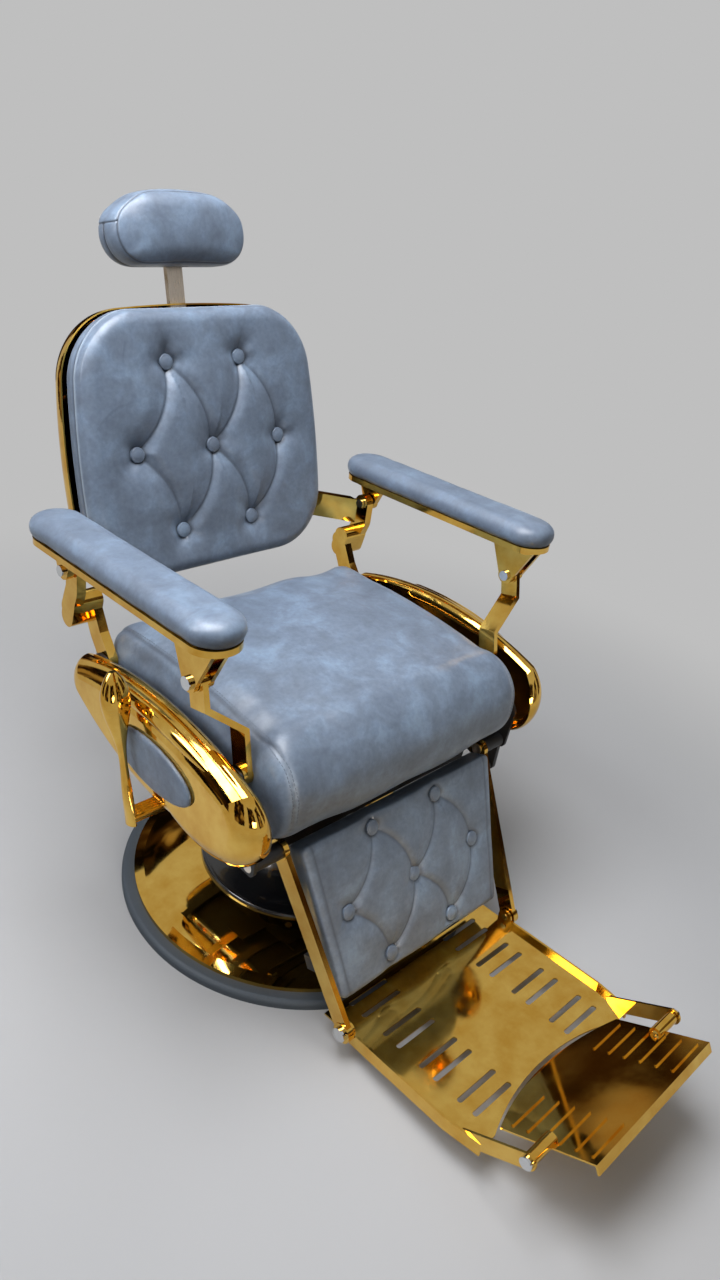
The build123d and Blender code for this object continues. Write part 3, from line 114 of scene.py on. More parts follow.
def makeGold(name, gloss, waveHeight):
    mat, tree, place = newMaterial(name)
    smudge = addNode(
        tree, "ShaderNodeTexNoise", links={"Vector": place},
        values={"Scale": 1 / goldLook["smudge"], "Detail": 4.0, "Roughness": 0.6},
    )
    tint = addNode(tree, "ShaderNodeValToRGB", links={0: smudge}, stops=[
        (0.35, linear(goldLook["deep"])), (0.65, linear(goldLook["face"])),
    ])
    dull = addNode(
        tree, "ShaderNodeMapRange", links={0: smudge}, values={1: 0.4, 2: 0.75, 3: gloss[0], 4: gloss[1]}
    )
    wave = addNode(
        tree, "ShaderNodeTexNoise", links={"Vector": place},
        values={"Scale": 1 / goldLook["wave"], "Detail": 0.5},
    )
    waved = addNode(
        tree, "ShaderNodeBump", links={"Height": wave}, values={"Distance": waveHeight, "Strength": 1.0}
    )
    polished = addNode(
        tree, "ShaderNodeMapping", links={"Vector": place}, values={"Scale": (1.0, goldLook["scratchRun"], 1.0)}
    )
    scratch = addNode(
        tree, "ShaderNodeTexNoise", links={"Vector": polished},
        values={"Scale": 1 / goldLook["scratch"], "Detail": 2.0},
    )
    scratched = addNode(
        tree, "ShaderNodeBump", links={"Height": scratch, "Normal": waved},
        values={"Distance": goldLook["scratchDeep"], "Strength": 0.5},
    )
    shader = addNode(
        tree, "ShaderNodeBsdfPrincipled", values={"Metallic": 1.0},
        links={"Base Color": tint, "Roughness": dull, "Normal": scratched},
    )
    addNode(tree, "ShaderNodeOutputMaterial", links={0: shader})
    return mat


goldPlate = makeGold("gold plated polished steel", (0.03, 0.09), 0.25 * mm)
goldCasting = makeGold("gold plated polished casting", (0.05, 0.13), 0.6 * mm)

# polyurethane-coated upholstery leather: smoky mottled slate blue, fine pebble grain, soft satin
leatherLook = {
    # the dark colour is painted as shade into seams, pleats and round the buttons
    "shade": "545E6B", "mid": "5F6B7A", "light": "6F8092", "paintedShade": "2B3039", "wear": "A9B4BD",
    "speckTint": "E4E5EA", "speckShare": 0.8, "sheenTint": "C4D4E8", "sheen": 0.18, "coat": 0.08,
    "gloss": (0.46, 0.34), "cloud": 55 * mm, "speck": 9 * mm,
    "grain": 2.4 * mm, "grainDeep": 0.06 * mm, "fold": 14 * mm, "foldDeep": 0.25 * mm,     # coarser than real
}


def makeLeather():
    mat, tree, place = newMaterial("mottled slate blue upholstery leather")
    cloud = addNode(
        tree, "ShaderNodeTexNoise", links={"Vector": place},
        values={"Scale": 1 / leatherLook["cloud"], "Detail": 5.0, "Roughness": 0.6, "Distortion": 0.4},
    )
    base = addNode(tree, "ShaderNodeValToRGB", links={0: cloud}, stops=[
        (0.30, linear(leatherLook["shade"])), (0.50, linear(leatherLook["mid"])),
        (0.72, linear(leatherLook["light"])),
    ])
    speck = addNode(
        tree, "ShaderNodeTexNoise", links={"Vector": place},
        values={"Scale": 1 / leatherLook["speck"], "Detail": 4.0, "Roughness": 0.65},
    )
    specked = addNode(tree, "ShaderNodeValToRGB", links={0: speck}, stops=[
        (0.35, linear(leatherLook["speckTint"])), (0.62, linear("FFFFFF")),
    ])
    mottled = addNode(
        tree, "ShaderNodeMix", settings={"data_type": "RGBA", "blend_type": "MULTIPLY"},
        values={0: leatherLook["speckShare"]}, links={6: base, 7: specked},
    )
    colour = mottled.outputs[2]
    for layer in ("paintedShade", "wear"):     # painted shade in the seams, pleats and round the buttons, pale where it rubs
        mark = addNode(tree, "ShaderNodeAttribute", settings={"attribute_name": layer})
        colour = addNode(
            tree, "ShaderNodeMix", settings={"data_type": "RGBA", "blend_type": "MIX"},
            values={7: linear(leatherLook[layer])}, links={0: mark.outputs["Fac"], 6: colour},
        ).outputs[2]
    dull = addNode(
        tree, "ShaderNodeMapRange", links={0: cloud},
        values={1: 0.3, 2: 0.7, 3: leatherLook["gloss"][0], 4: leatherLook["gloss"][1]},
    )
    fold = addNode(
        tree, "ShaderNodeTexNoise", links={"Vector": place},
        values={"Scale": 1 / leatherLook["fold"], "Detail": 2.0, "Roughness": 0.5, "Distortion": 0.8},
    )
    folded = addNode(
        tree, "ShaderNodeBump", links={"Height": fold},
        values={"Distance": leatherLook["foldDeep"], "Strength": 0.6},
    )
    pebble = addNode(
        tree, "ShaderNodeTexVoronoi", settings={"feature": "DISTANCE_TO_EDGE"}, links={"Vector": place},
        values={"Scale": 1 / leatherLook["grain"]},
    )
    domed = addNode(tree, "ShaderNodeMapRange", links={0: pebble}, values={1: 0.0, 2: 0.25, 3: 0.0, 4: 1.0})
    grained = addNode(
        tree, "ShaderNodeBump", links={"Height": domed, "Normal": folded},
        values={"Distance": leatherLook["grainDeep"], "Strength": 0.5},
    )
    shader = addNode(
        tree, "ShaderNodeBsdfPrincipled", links={"Base Color": colour, "Roughness": dull, "Normal": grained},
        values={
            "Specular IOR Level": 0.5, "Coat Weight": leatherLook["coat"], "Coat Roughness": 0.3,
            "Sheen Weight": leatherLook["sheen"], "Sheen Roughness": 0.4,
            "Sheen Tint": linear(leatherLook["sheenTint"]),
        },
    )
    addNode(tree, "ShaderNodeOutputMaterial", links={0: shader})
    return mat


leather = makeLeather()


def makePlain(name, hexText, gloss, blotch, bump, metallic=0.0, coat=0.0, darker=0.75, stretch=None):
    # one finish: a base colour that varies by blotches, roughness that follows them, and a bump
    mat, tree, place = newMaterial(name)
    if stretch:
        place = addNode(tree, "ShaderNodeMapping", links={"Vector": place}, values={"Scale": stretch})
    pattern = addNode(
        tree, "ShaderNodeTexNoise", links={"Vector": place},
        values={"Scale": 1 / blotch, "Detail": 4.0, "Roughness": 0.6},
    )
    colour = linear(hexText)
    shade = tuple(part * darker for part in colour[:3]) + (1.0,)
    tint = addNode(tree, "ShaderNodeValToRGB", links={0: pattern}, stops=[(0.3, shade), (0.65, colour)])
    dull = addNode(
        tree, "ShaderNodeMapRange", links={0: pattern}, values={1: 0.3, 2: 0.7, 3: gloss[0], 4: gloss[1]}
    )
    bumped = addNode(
        tree, "ShaderNodeBump", links={"Height": pattern}, values={"Distance": bump, "Strength": 1.0}
    )
    shader = addNode(
        tree, "ShaderNodeBsdfPrincipled", links={"Base Color": tint, "Roughness": dull, "Normal": bumped},
        values={"Metallic": metallic, "Coat Weight": coat, "Coat Roughness": 0.05},
    )
    addNode(tree, "ShaderNodeOutputMaterial", links={0: shader})
    return mat


# glassy oven-fused coat: deep black with clean, slightly rippled reflections
blackEnamel = makePlain("black stoved enamel", "17181B", (0.12, 0.22), 60 * mm, 0.25 * mm, coat=0.8)
# sprayed satin paint: broad soft highlights
blackPaint = makePlain("black satin paint on steel", "17181A", (0.38, 0.55), 12 * mm, 0.05 * mm)
# paint over a sand casting: dull, with the sand's grain showing through
castBase = makePlain("black painted cast iron", "1C1C1D", (0.5, 0.7), 5 * mm, 0.2 * mm)
# moulded rubber: matt slate grey with a faint skin
ringRubber = makePlain("moulded slate rubber", "3E464E", (0.55, 0.75), 3 * mm, 0.12 * mm)
# drawn over an abrasive belt: warm grey streaks along one way, drawn coarser than real
brushedSteel = makePlain(
    "brushed steel", "EFE4D6", (0.24, 0.4), 5 * mm, 0.03 * mm,
    metallic=1.0, darker=0.82, stretch=(8.0, 0.25, 0.25),
)
# plated and buffed: a bright cool mirror
chrome = makePlain("polished chrome", "DCDEE0", (0.05, 0.12), 14 * mm, 0.02 * mm, metallic=1.0, darker=0.9)
# stain over birch: near black, with the wood's long grain left in the surface
blackBoard = makePlain(
    "black stained plywood", "1D1C1B", (0.5, 0.7), 4 * mm, 0.08 * mm, stretch=(0.2, 1.0, 1.0)
)
# moulded seal rubber: black with a slight oiled sheen
sealRubber = makePlain("nitrile rubber", "141414", (0.4, 0.6), 4 * mm, 0.05 * mm)
# pressed and sintered powder: warm, dull and finely pitted
bronze = makePlain("sintered bronze", "A9814A", (0.3, 0.45), 3 * mm, 0.04 * mm, metallic=1.0)
# twisted filament: matt, a shade paler than the leather round it
thread = makePlain("polyester thread", "59626F", (0.6, 0.7), 1 * mm, 0.05 * mm)

slotLooks = {
    "plating": goldPlate, "plated_casting": goldCasting, "enamel": blackEnamel, "cast_base": castBase,
    "ring_rubber": ringRubber, "steel": brushedSteel, "chrome": chrome, "seal": sealRubber,
    "leather": leather, "board": blackBoard, "frame_paint": blackPaint, "bronze": bronze,
}
for subpart in frame["record"]["subparts"]:
    node = nodes[subpart["node"]]
    node.data.materials.clear()
    node.data.materials.append(slotLooks[subpart["material_slot"]])
print("stage: materials made")


def leanPlane(centreY, centreZ, lean):
    # local x is +X, y runs up along the piece, z points to its front, as in the CAD source
    angle = math.radians(lean)
    return Matrix((
        (1, 0, 0, 0),
        (0, math.sin(angle), -math.cos(angle), centreY),
        (0, math.cos(angle), math.sin(angle), centreZ),
        (0, 0, 0, 1),
    ))


backPlane = leanPlane(centreY=0.346, centreZ=0.729, lean=15.6)
legPlane = leanPlane(centreY=-0.272, centreZ=0.203, lean=24.0)
headrestPlane = backPlane @ Matrix.Translation((0, 0.354, -0.073))     # above the back and behind its face


def clearSelection():
    if bpy.context.object and bpy.context.object.mode != "OBJECT":
        bpy.ops.object.mode_set(mode="OBJECT")
    bpy.ops.object.select_all(action="DESELECT")


def makeActive(obj):
    clearSelection()
    obj.select_set(True)
    bpy.context.view_layer.objects.active = obj


def closeShell(obj, gap, fill=False):
    # merges points nearer than gap and turns every face outwards
    makeActive(obj)
    bpy.ops.object.mode_set(mode="EDIT")
    bpy.ops.mesh.select_all(action="SELECT")
    bpy.ops.mesh.remove_doubles(threshold=gap)
    if fill:
        bpy.ops.mesh.fill_holes(sides=0)
    bpy.ops.mesh.normals_make_consistent(inside=False)
    bpy.ops.object.mode_set(mode="OBJECT")


def soften(obj, factor, times):
    makeActive(obj)
    rounding = obj.modifiers.new("rounding", "SMOOTH")
    rounding.factor = factor
    rounding.iterations = times
    bpy.ops.object.modifier_apply(modifier=rounding.name)


def cubeGrid(name, cuts, rows):
    # a cube whose front and rear are an even grid and whose sides have a few rows
    clearSelection()
    bpy.ops.mesh.primitive_cube_add(size=2)
    obj = bpy.context.object
    obj.name = name
    bpy.ops.object.mode_set(mode="EDIT")
    bpy.ops.mesh.select_mode(type="EDGE")
    for upright, count in ((False, cuts), (True, rows)):
        bpy.ops.mesh.select_all(action="DESELECT")
        form = bmesh.from_edit_mesh(obj.data)
        for edge in form.edges:
            rises = abs(edge.verts[0].co.z - edge.verts[1].co.z) > 0.01
            edge.select_set(rises == upright)
        bmesh.update_edit_mesh(obj.data)
        bpy.ops.mesh.subdivide(number_cuts=count)
    bpy.ops.object.mode_set(mode="OBJECT")
    return obj


def roundCorner(x, y, halfX, halfY, radius):
    # moves a point of a rectangle's grid into the same rectangle with round corners
    dx = abs(x) - (halfX - radius)
    dy = abs(y) - (halfY - radius)
    if dx <= 0 or dy <= 0:
        return x, y
    share = max(dx, dy) / math.hypot(dx, dy)
    return math.copysign(halfX - radius + dx * share, x), math.copysign(halfY - radius + dy * share, y)


def shapePad(obj, look, plane, taper):
    # turns the cube grid into a pad: round outline, rolled edges, drawn-in sides and a crowned face
    halfX, halfY, edge = look["halfX"], look["halfY"], look["edge"]
    depth = (look["front"] - look["rear"]) / 2
    for vertex in obj.data.vertices:
        a, b, c = vertex.co
        x, y = roundCorner(a * halfX, b * halfY, halfX, halfY, look["corner"])
        z = c * depth
        reach = max(abs(a), abs(b))
        fromEdge = (1 - reach) * min(halfX, halfY)
        du = edge - fromEdge
        dz = abs(z) - (depth - edge)
        if du > 0 and dz > 0:
            share = max(du, dz) / math.hypot(du, dz)
            z = math.copysign(depth - edge + dz * share, z)
            drawnIn = edge - du * share - fromEdge
            length = math.hypot(x, y) or 1
            x, y = x - x / length * drawnIn, y - y / length * drawnIn
        waist = look["waist"] * (1 - c * c) * reach ** 6     # sides pull in between the seams
        length = math.hypot(x, y) or 1
        x, y = x - x / length * waist, y - y / length * waist
        if c > 0:
            z += c * look["crown"] * (1 - min(1, (x / halfX) ** 2)) * (1 - min(1, (y / halfY) ** 2))
        y += look["middle"] - look["arch"] * (x / halfX) ** 2 * max(0.0, b)
        x *= taper(y)
        z += (look["front"] + look["rear"]) / 2
        vertex.co = plane @ Vector((x, y, z))


def carvePad(obj, plane, relief, middleDepth, fade=20 * mm):
    # sinks the tufts and pleats into the front of a finished pad and paints shade into the pleats, seams and
    # round the buttons
    paintedShade = obj.data.attributes.new("paintedShade", "FLOAT", "POINT")
    back = plane.inverted()
    for vertex in obj.data.vertices:
        x, y, z = back @ vertex.co
        share = min(1, max(0, (z - middleDepth) / fade))
        if share > 0:
            sink, dark = relief(x, y)
            vertex.co = plane @ Vector((x, y, z - sink * share))
            paintedShade.data[vertex.index].value = dark * share


def finishPad(obj, body, node, levels=1):
    if levels:
        smooth = obj.modifiers.new("smooth", "SUBSURF")
        smooth.levels = smooth.render_levels = levels
        bpy.ops.object.modifier_apply(modifier=smooth.name)
    bpy.ops.object.shade_smooth()
    obj.data.materials.clear()
    obj.data.materials.append(leather)
    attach(obj, body)
    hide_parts(node)


def markBand(obj, plane, at, halfWide, sink, dark, inside=None, name="paintedShade", axis=2):
    # a sewn line round a pad at one depth, or at one height with axis 1, drawn in or out by sink; dark paints
    # shade into the line, or with the wear layer rubs it pale
    mark = obj.data.attributes.get(name) or obj.data.attributes.new(name, "FLOAT", "POINT")
    back = plane.inverted()
    normals = [vertex.normal.copy() for vertex in obj.data.vertices]     # read before any point moves
    for vertex, normal in zip(obj.data.vertices, normals):
        spot = back @ vertex.co
        if inside and not inside(*spot):
            continue
        share = fadeOut(spot[axis] - at, halfWide)
        if share > 0.05:     # fainter than this isn't seen
            mark.data[vertex.index].value = max(mark.data[vertex.index].value, dark * share)
            vertex.co -= normal * sink * share


# how a tuft, its folds and its pleats are drawn in, alike on both tufted pads
tuftLook = {
    "reach": 3.2, "sharp": 1.25, "foldCount": 4, "foldTurn": 1.7, "foldDeep": 0.22,     # reach in tuft widths
    "rimFrom": 0.8, "rimTo": 1.5, "rimAt": 1.05, "rimFade": 0.5, "rimDark": 0.8,     # in button radii
    "swaleReach": 2.2, "steepSide": 0.45, "swaleHeld": 0.5,     # in swale widths, and shares of the swale
    "nearX": 0.04, "nearY": 0.075, "pleatSteps": 12,     # pleats further off are passed over
    # seamDark is shade painted into a sunk edge seam
    "seamDark": 0.55, "seamWide": 2.2 * mm, "seamDeep": 0.8 * mm, "seamDip": 3 * mm,
}


def tuftPoints(look):
    # a row of two buttons, one of three and one of two
    points = []
    for row, columns in ((look["up"], (-0.5, 0.5)), (0.0, (-1, 0, 1)), (-look["down"], (-0.5, 0.5))):
        points += [Vector((column * look["spacing"], row)) for column in columns]
    return points


def pleatLines(look):
    # each pleat is a short run of points between two tufts, bowed to one side
    lines = []
    count = tuftLook["pleatSteps"]
    for column in (-0.5, 0.5):
        top = Vector((column * look["spacing"], look["up"]))
        foot = Vector((column * look["spacing"], -look["down"]))
        for side in (-0.5, 0.5):
            middle = Vector(((column + side) * look["spacing"], 0))
            for start, end in ((top, middle), (middle, foot)):
                along = (end - start).normalized()
                across = Vector((along.y, -along.x)) * look["bow"]
                shares = [i / count for i in range(count + 1)]
                lines.append([start.lerp(end, t) + across * math.sin(math.pi * t) for t in shares])
    return lines


def nearestOnLine(point, line):
    # distance to a run of points, less than zero on its left
    best, side = 1e9, 1.0
    for a, b in zip(line, line[1:]):
        ab = b - a
        t = max(0.0, min(1.0, (point - a).dot(ab) / ab.length_squared))
        away = point - a - ab * t
        if away.length < best:
            best, side = away.length, ab.x * away.y - ab.y * away.x
    return -best if side > 0 else best


def tuftRelief(look, taper):
    # gives how far a point of the face sinks and how much painted shade it gets in its creases
    points = tuftPoints(look)
    lines = pleatLines(look)
    reach = look["swaleWide"] * tuftLook["swaleReach"]
    half = tuftLook["pleatSteps"] // 2

    def relief(x, y):
        here = Vector((x, y))
        sink, dark = 0.0, 0.0
        for index, point in enumerate(points):
            offset = here - point
            wides = offset.length / look["tuftWide"]
            if wides < tuftLook["reach"]:
                angle = math.atan2(offset.y, offset.x)
                fold = math.cos(tuftLook["foldCount"] * angle + index * tuftLook["foldTurn"])
                folds = 1 + tuftLook["foldDeep"] * fold * min(1, wides)
                sink = max(sink, look["tuftDeep"] * math.exp(-(wides ** tuftLook["sharp"])) * folds)
                smear = fadeOut(offset.x, look["smearWide"])     # a shadow smeared above the button
                smear *= fadeOut(offset.y - look["smearUp"], look["smearTall"])
                dark = max(dark, look["smearDark"] * smear)
                rim = offset.length / look["buttonRadius"]
                if tuftLook["rimFrom"] < rim < tuftLook["rimTo"]:
                    dark = max(dark, tuftLook["rimDark"] - abs(rim - tuftLook["rimAt"]) / tuftLook["rimFade"])
        near = 1e9
        for line in lines:
            gap = here - line[half]
            if abs(gap.x) < reach + tuftLook["nearX"] and abs(gap.y) < reach + tuftLook["nearY"]:
                near = min(near, nearestOnLine(here, line), key=abs)
        if "edgeSeam" in look:
            past = abs(abs(x) - look["edgeSeam"] * taper(y))
            # painted shade in the sunk edge seam
            dark = max(dark, tuftLook["seamDark"] * fadeOut(past, tuftLook["seamWide"]))
            sink += tuftLook["seamDeep"] * fadeOut(past, tuftLook["seamDip"])
        if abs(near) < reach:
            lying = 1 if near > 0 else tuftLook["steepSide"]     # the fold lies over to one side
            wide = look["swaleWide"] * lying
            pleat = fadeOut(near, look["pleatWide"])
            held = 1 - tuftLook["swaleHeld"] * min(1, sink / look["tuftDeep"])
            sink += look["swaleDeep"] * fadeOut(near, wide) * held + look["pleatDeep"] * pleat
            # painted shade along the pleat's fold
            dark = max(dark, look["pleatDark"] * pleat)
        return sink, min(1.0, dark)

    return relief


buttonLook = {"front": 0.42, "rear": 0.3, "ripple": 0.9 * mm, "rippleTurn": 14, "rippleFrom": 0.75}


def makeButtons(name, look, plane, faceAt, body, node):
    # one covered button is flattened from a sphere and copied to each tuft
    clearSelection()
    bpy.ops.mesh.primitive_uv_sphere_add(segments=32, ring_count=18, radius=look["buttonRadius"])
    first = bpy.context.object
    for vertex in first.data.vertices:
        x, y, z = vertex.co
        r = math.hypot(x, y) / look["buttonRadius"]
        height = z * (buttonLook["front"] if z > 0 else buttonLook["rear"])
        if r > buttonLook["rippleFrom"] and z > 0:
            height += buttonLook["ripple"] * math.cos(r * buttonLook["rippleTurn"])
        vertex.co = (x, y, height)
    parts = []
    for x, y in tuftPoints(look):
        copy = first.copy()
        copy.data = first.data.copy()
        bpy.context.scene.collection.objects.link(copy)
        copy.data.transform(plane @ Matrix.Translation((x, y, faceAt(x, y))))
        parts.append(copy)
    bpy.data.objects.remove(first)
    clearSelection()
    for part in parts:
        part.select_set(True)
    bpy.context.view_layer.objects.active = parts[0]
    bpy.ops.object.join()
    buttons = bpy.context.object
    buttons.name = name
    bpy.ops.object.shade_smooth()
    buttons.data.materials.clear()
    buttons.data.materials.append(leather)
    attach(buttons, body)
    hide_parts(node)
    return buttons


stitchLook = {"pitch": 6.2 * mm, "length": 4.2 * mm, "radius": 0.6 * mm, "proud": 0.4, "flat": 1.6, "dip": 0.9}


def stitchRow(name, pad, guide, body):
    # short thread stitches laid on the pad's surface along a guide line
    tree = BVHTree.FromObject(pad, bpy.context.evaluated_depsgraph_get())
    length, radius = stitchLook["length"], stitchLook["radius"]
    path = [Vector(point) for point in guide]
    steps = []
    spare = 0.0
    for a, b in zip(path, path[1:]):
        run = (b - a).length
        t = spare
        while t < run:
            steps.append(a.lerp(b, t / run))
            t += stitchLook["pitch"]
        spare = t - run
    mesh = bmesh.new()
    for a, b in zip(steps, steps[1:]):
        spot, normal, _, _ = tree.find_nearest(a)
        other, _, _, _ = tree.find_nearest(b)
        if spot is None or other is None or (other - spot).length < 1e-5:
            continue
        along = (other - spot).normalized()
        side = normal.cross(along).normalized()
        centre = spot + along * length / 2 + normal * radius * stitchLook["proud"]
        turn = Matrix((along, side, normal)).transposed().to_4x4()
        size = Matrix.Diagonal((length, radius * 2, radius * stitchLook["flat"], 1))
        made = bmesh.ops.create_cube(mesh, size=1.0, matrix=Matrix.Translation(centre) @ turn @ size)
        for vertex in made["verts"]:
            if abs((vertex.co - centre).dot(along)) > length * 0.3:     # both ends dip into the leather
                vertex.co -= normal * radius * stitchLook["dip"]
    data = bpy.data.meshes.new(name)
    mesh.to_mesh(data)
    mesh.free()
    stitches = bpy.data.objects.new(name, data)
    bpy.context.scene.collection.objects.link(stitches)
    data.materials.append(thread)
    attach(stitches, body)
    return stitches


backLook = {
    "halfX": 0.251, "halfY": 0.2235, "middle": 0.0075, "rear": -0.060, "front": 0.000, "crown": 0.013,
    "corner": 0.105, "edge": 0.026, "waist": 0.003, "arch": 0.0, "taper": 1.42, "widestAt": -0.04,
    "spacing": 0.150, "up": 0.144, "down": 0.139, "bow": -0.016, "carveFrom": -0.030,
    "tuftDeep": 0.021, "tuftWide": 0.027, "pleatDeep": 0.0024, "pleatWide": 0.0026, "pleatDark": 0.55,
    "swaleDeep": 0.0065, "swaleWide": 0.024, "buttonRadius": 0.0135, "buttonProud": 0.0035,
    "smearUp": 0.017, "smearTall": 0.020, "smearWide": 0.012, "smearDark": 0.6,
    "cuts": 93, "rows": 13, "fill": 0.8,
    "seam": {"at": -0.026, "halfWide": 1.8 * mm, "sink": 1.4 * mm, "dark": 0.7},
    "piping": {"at": -0.021, "halfWide": 1.6 * mm, "sink": -1.2 * mm, "dark": 0.55, "name": "wear"},
}


def backTaper(y):
    return 1 - backLook["taper"] * (y - backLook["widestAt"]) ** 2


def backButtonAt(x, y):
    crown = backLook["crown"] * (1 - (x / backLook["halfX"]) ** 2) * (1 - (y / backLook["halfY"]) ** 2)
    return crown - backLook["tuftDeep"] + backLook["buttonProud"]


backCushion = cubeGrid("backCushion", backLook["cuts"], backLook["rows"])
shapePad(backCushion, backLook, backPlane, backTaper)
closeShell(backCushion, 0.1 * mm)
finishPad(backCushion, "backrest", "back_cushion")
carvePad(backCushion, backPlane, tuftRelief(backLook, backTaper), backLook["carveFrom"])
# the seam band paints shade into its groove, the raised piping is rubbed pale
markBand(backCushion, backPlane, **backLook["seam"])
markBand(backCushion, backPlane, **backLook["piping"])
makeButtons("backButtons", backLook, backPlane, backButtonAt, "backrest", "back_buttons")
print("stage: backrest upholstered")

legLook = {
    "halfX": 0.205, "halfY": 0.135, "middle": 0.001, "rear": -0.040, "front": 0.001, "crown": 0.006,
    "corner": 0.012, "edge": 0.012, "waist": 0.002, "arch": 0.0, "flare": 0.015, "edgeSeam": 0.187,
    "spacing": 0.148, "up": 0.112, "down": 0.108, "bow": -0.014, "carveFrom": -0.025,
    "tuftDeep": 0.011, "tuftWide": 0.020, "pleatDeep": 0.0014, "pleatWide": 0.0024, "pleatDark": 0.5,
    "swaleDeep": 0.0035, "swaleWide": 0.018, "buttonRadius": 0.013, "buttonAt": -0.0045,
    "smearUp": 0.013, "smearTall": 0.010, "smearWide": 0.010, "smearDark": 0.3,
    "cuts": 89, "rows": 7, "fill": 0.8,
}


def legTaper(y):
    return 1 + legLook["flare"] * y / legLook["halfY"] / legLook["halfX"]


legPad = cubeGrid("legPad", legLook["cuts"], legLook["rows"])
shapePad(legPad, legLook, legPlane, legTaper)
closeShell(legPad, 0.1 * mm)
finishPad(legPad, "legrest", "leg_pad")
carvePad(legPad, legPlane, tuftRelief(legLook, legTaper), legLook["carveFrom"])
makeButtons("legButtons", legLook, legPlane, lambda x, y: legLook["buttonAt"], "legrest", "leg_buttons")
print("stage: legrest upholstered")

headLook = {
    "halfX": 0.1315, "halfY": 0.0595, "middle": 0.0, "rear": -0.026, "front": 0.054, "crown": 0.010,
    "corner": 0.050, "edge": 0.030, "waist": 0.0, "arch": 0.013, "taper": 46, "narrowFrom": -0.012,
    "cuts": 49, "rows": 29, "soften": 16, "fill": 0.9,
    "sideSeam": {"at": 0.043, "halfWide": 1.6 * mm, "sink": 1.2 * mm, "dark": 0.8},
    "zip": {"at": 0.010, "halfWide": 3.0 * mm, "sink": 2.2 * mm, "dark": 1.0},
    "flap": {"at": 0.006, "halfWide": 1.4 * mm, "sink": 1.2 * mm, "dark": 0.8, "axis": 1},
    "flapFrom": 0.09,     # the flap's seam shows only at the ends
}
barSlot = {"low": -0.064, "high": 0.011, "lowSpread": 0.0235, "highSpread": 0.0105, "halfWide": 0.0175}


def headTaper(y):
    return 1 - headLook["taper"] * max(0, y - headLook["narrowFrom"]) ** 2


def underFlap(x, y, z):
    return y < headLook["flap"]["at"]


def onFlap(x, y, z):
    return z < headLook["sideSeam"]["at"] and abs(x) > headLook["flapFrom"]


def cutBarSlot(obj):
    # the bar enters the headrest from below, so the pad has a wedge-shaped slot there
    clearSelection()
    bpy.ops.mesh.primitive_cube_add(size=1)
    wedge = bpy.context.object
    for vertex in wedge.data.vertices:
        x, y, z = vertex.co
        end = "low" if y < 0 else "high"
        spread = barSlot[end + "Spread"]
        vertex.co = headrestPlane @ Vector((x * 2 * barSlot["halfWide"], barSlot[end], z * 2 * spread))
    cut = obj.modifiers.new("slot", "BOOLEAN")
    cut.object = wedge
    cut.operation = "DIFFERENCE"
    cut.solver = "EXACT"
    makeActive(obj)
    bpy.ops.object.modifier_apply(modifier=cut.name)
    bpy.data.objects.remove(wedge)


headPad = cubeGrid("headPad", headLook["cuts"], headLook["rows"])
shapePad(headPad, headLook, headrestPlane, headTaper)
soften(headPad, 0.5, headLook["soften"])
closeShell(headPad, 0.1 * mm)
finishPad(headPad, "headrest", "headrest_cushion")
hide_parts("headrest_back_pad", "headrest_board")     # both are wrapped inside the pad
# the side seam, zip and flap bands paint shade into their sunk lines
markBand(headPad, headrestPlane, **headLook["sideSeam"])
markBand(headPad, headrestPlane, inside=underFlap, **headLook["zip"])
markBand(headPad, headrestPlane, inside=onFlap, **headLook["flap"])
cutBarSlot(headPad)
print("stage: headrest upholstered")


clothLook = {"pressure": 4.0, "gravity": 0.0, "quality": 4}


def inflatePad(pad, look):
    # blows the pad up a little as cloth under pressure, each point held to a small move
    before = [vertex.co.copy() for vertex in pad.data.vertices]
    makeActive(pad)
    cloth = pad.modifiers.new("cloth", "CLOTH")
    cloth.settings.use_pressure = True
    cloth.settings.uniform_pressure_force = clothLook["pressure"]
    cloth.settings.effector_weights.gravity = clothLook["gravity"]
    cloth.settings.quality = clothLook["quality"]
    for step in range(1, look["frames"] + 1):
        bpy.context.scene.frame_set(step)
    depsgraph = bpy.context.evaluated_depsgraph_get()
    after = [vertex.co.copy() for vertex in pad.evaluated_get(depsgraph).data.vertices]
    pad.modifiers.remove(cloth)
    bpy.context.scene.frame_set(1)
    for vertex, old, new in zip(pad.data.vertices, before, after):
        move = new - old
        if move.length > look["cap"]:
            move = move.normalized() * look["cap"]
        vertex.co = old + move


def padFromNode(name, nodeName, body, look):
    # a pad copied from the CAD form, remeshed evenly and inflated
    source = nodes[nodeName]
    pad = source.copy()
    pad.data = source.data.copy()
    pad.parent = None
    bpy.context.scene.collection.objects.link(pad)
    pad.name = name
    for key in ("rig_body", "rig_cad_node"):     # the copy starts with no tie of its own
        if key in pad:
            del pad[key]
    closeShell(pad, 0.05 * mm)
    remesh = pad.modifiers.new("even", "REMESH")
    remesh.mode = "VOXEL"
    remesh.voxel_size = look["voxel"]
    bpy.ops.object.modifier_apply(modifier=remesh.name)
    inflatePad(pad, look)
    soften(pad, 0.6, look["soften"])
    closeShell(pad, 0.1 * mm)
    finishPad(pad, body, nodeName, look["levels"])
    return pad


armLook = {"voxel": 5 * mm, "frames": 14, "cap": 2.5 * mm, "soften": 6, "levels": 0, "fill": 0.9}
inlayLook = {"voxel": 2.5 * mm, "frames": 6, "cap": 1.5 * mm, "soften": 4, "levels": 0, "fill": 0.9}
for side in ("right", "left"):
    padFromNode(f"armPad_{side}", f"arm_pad_{side}", f"arm_{side}", armLook)
    padFromNode(f"inlayPad_{side}", f"side_inlay_{side}", "seat", inlayLook)

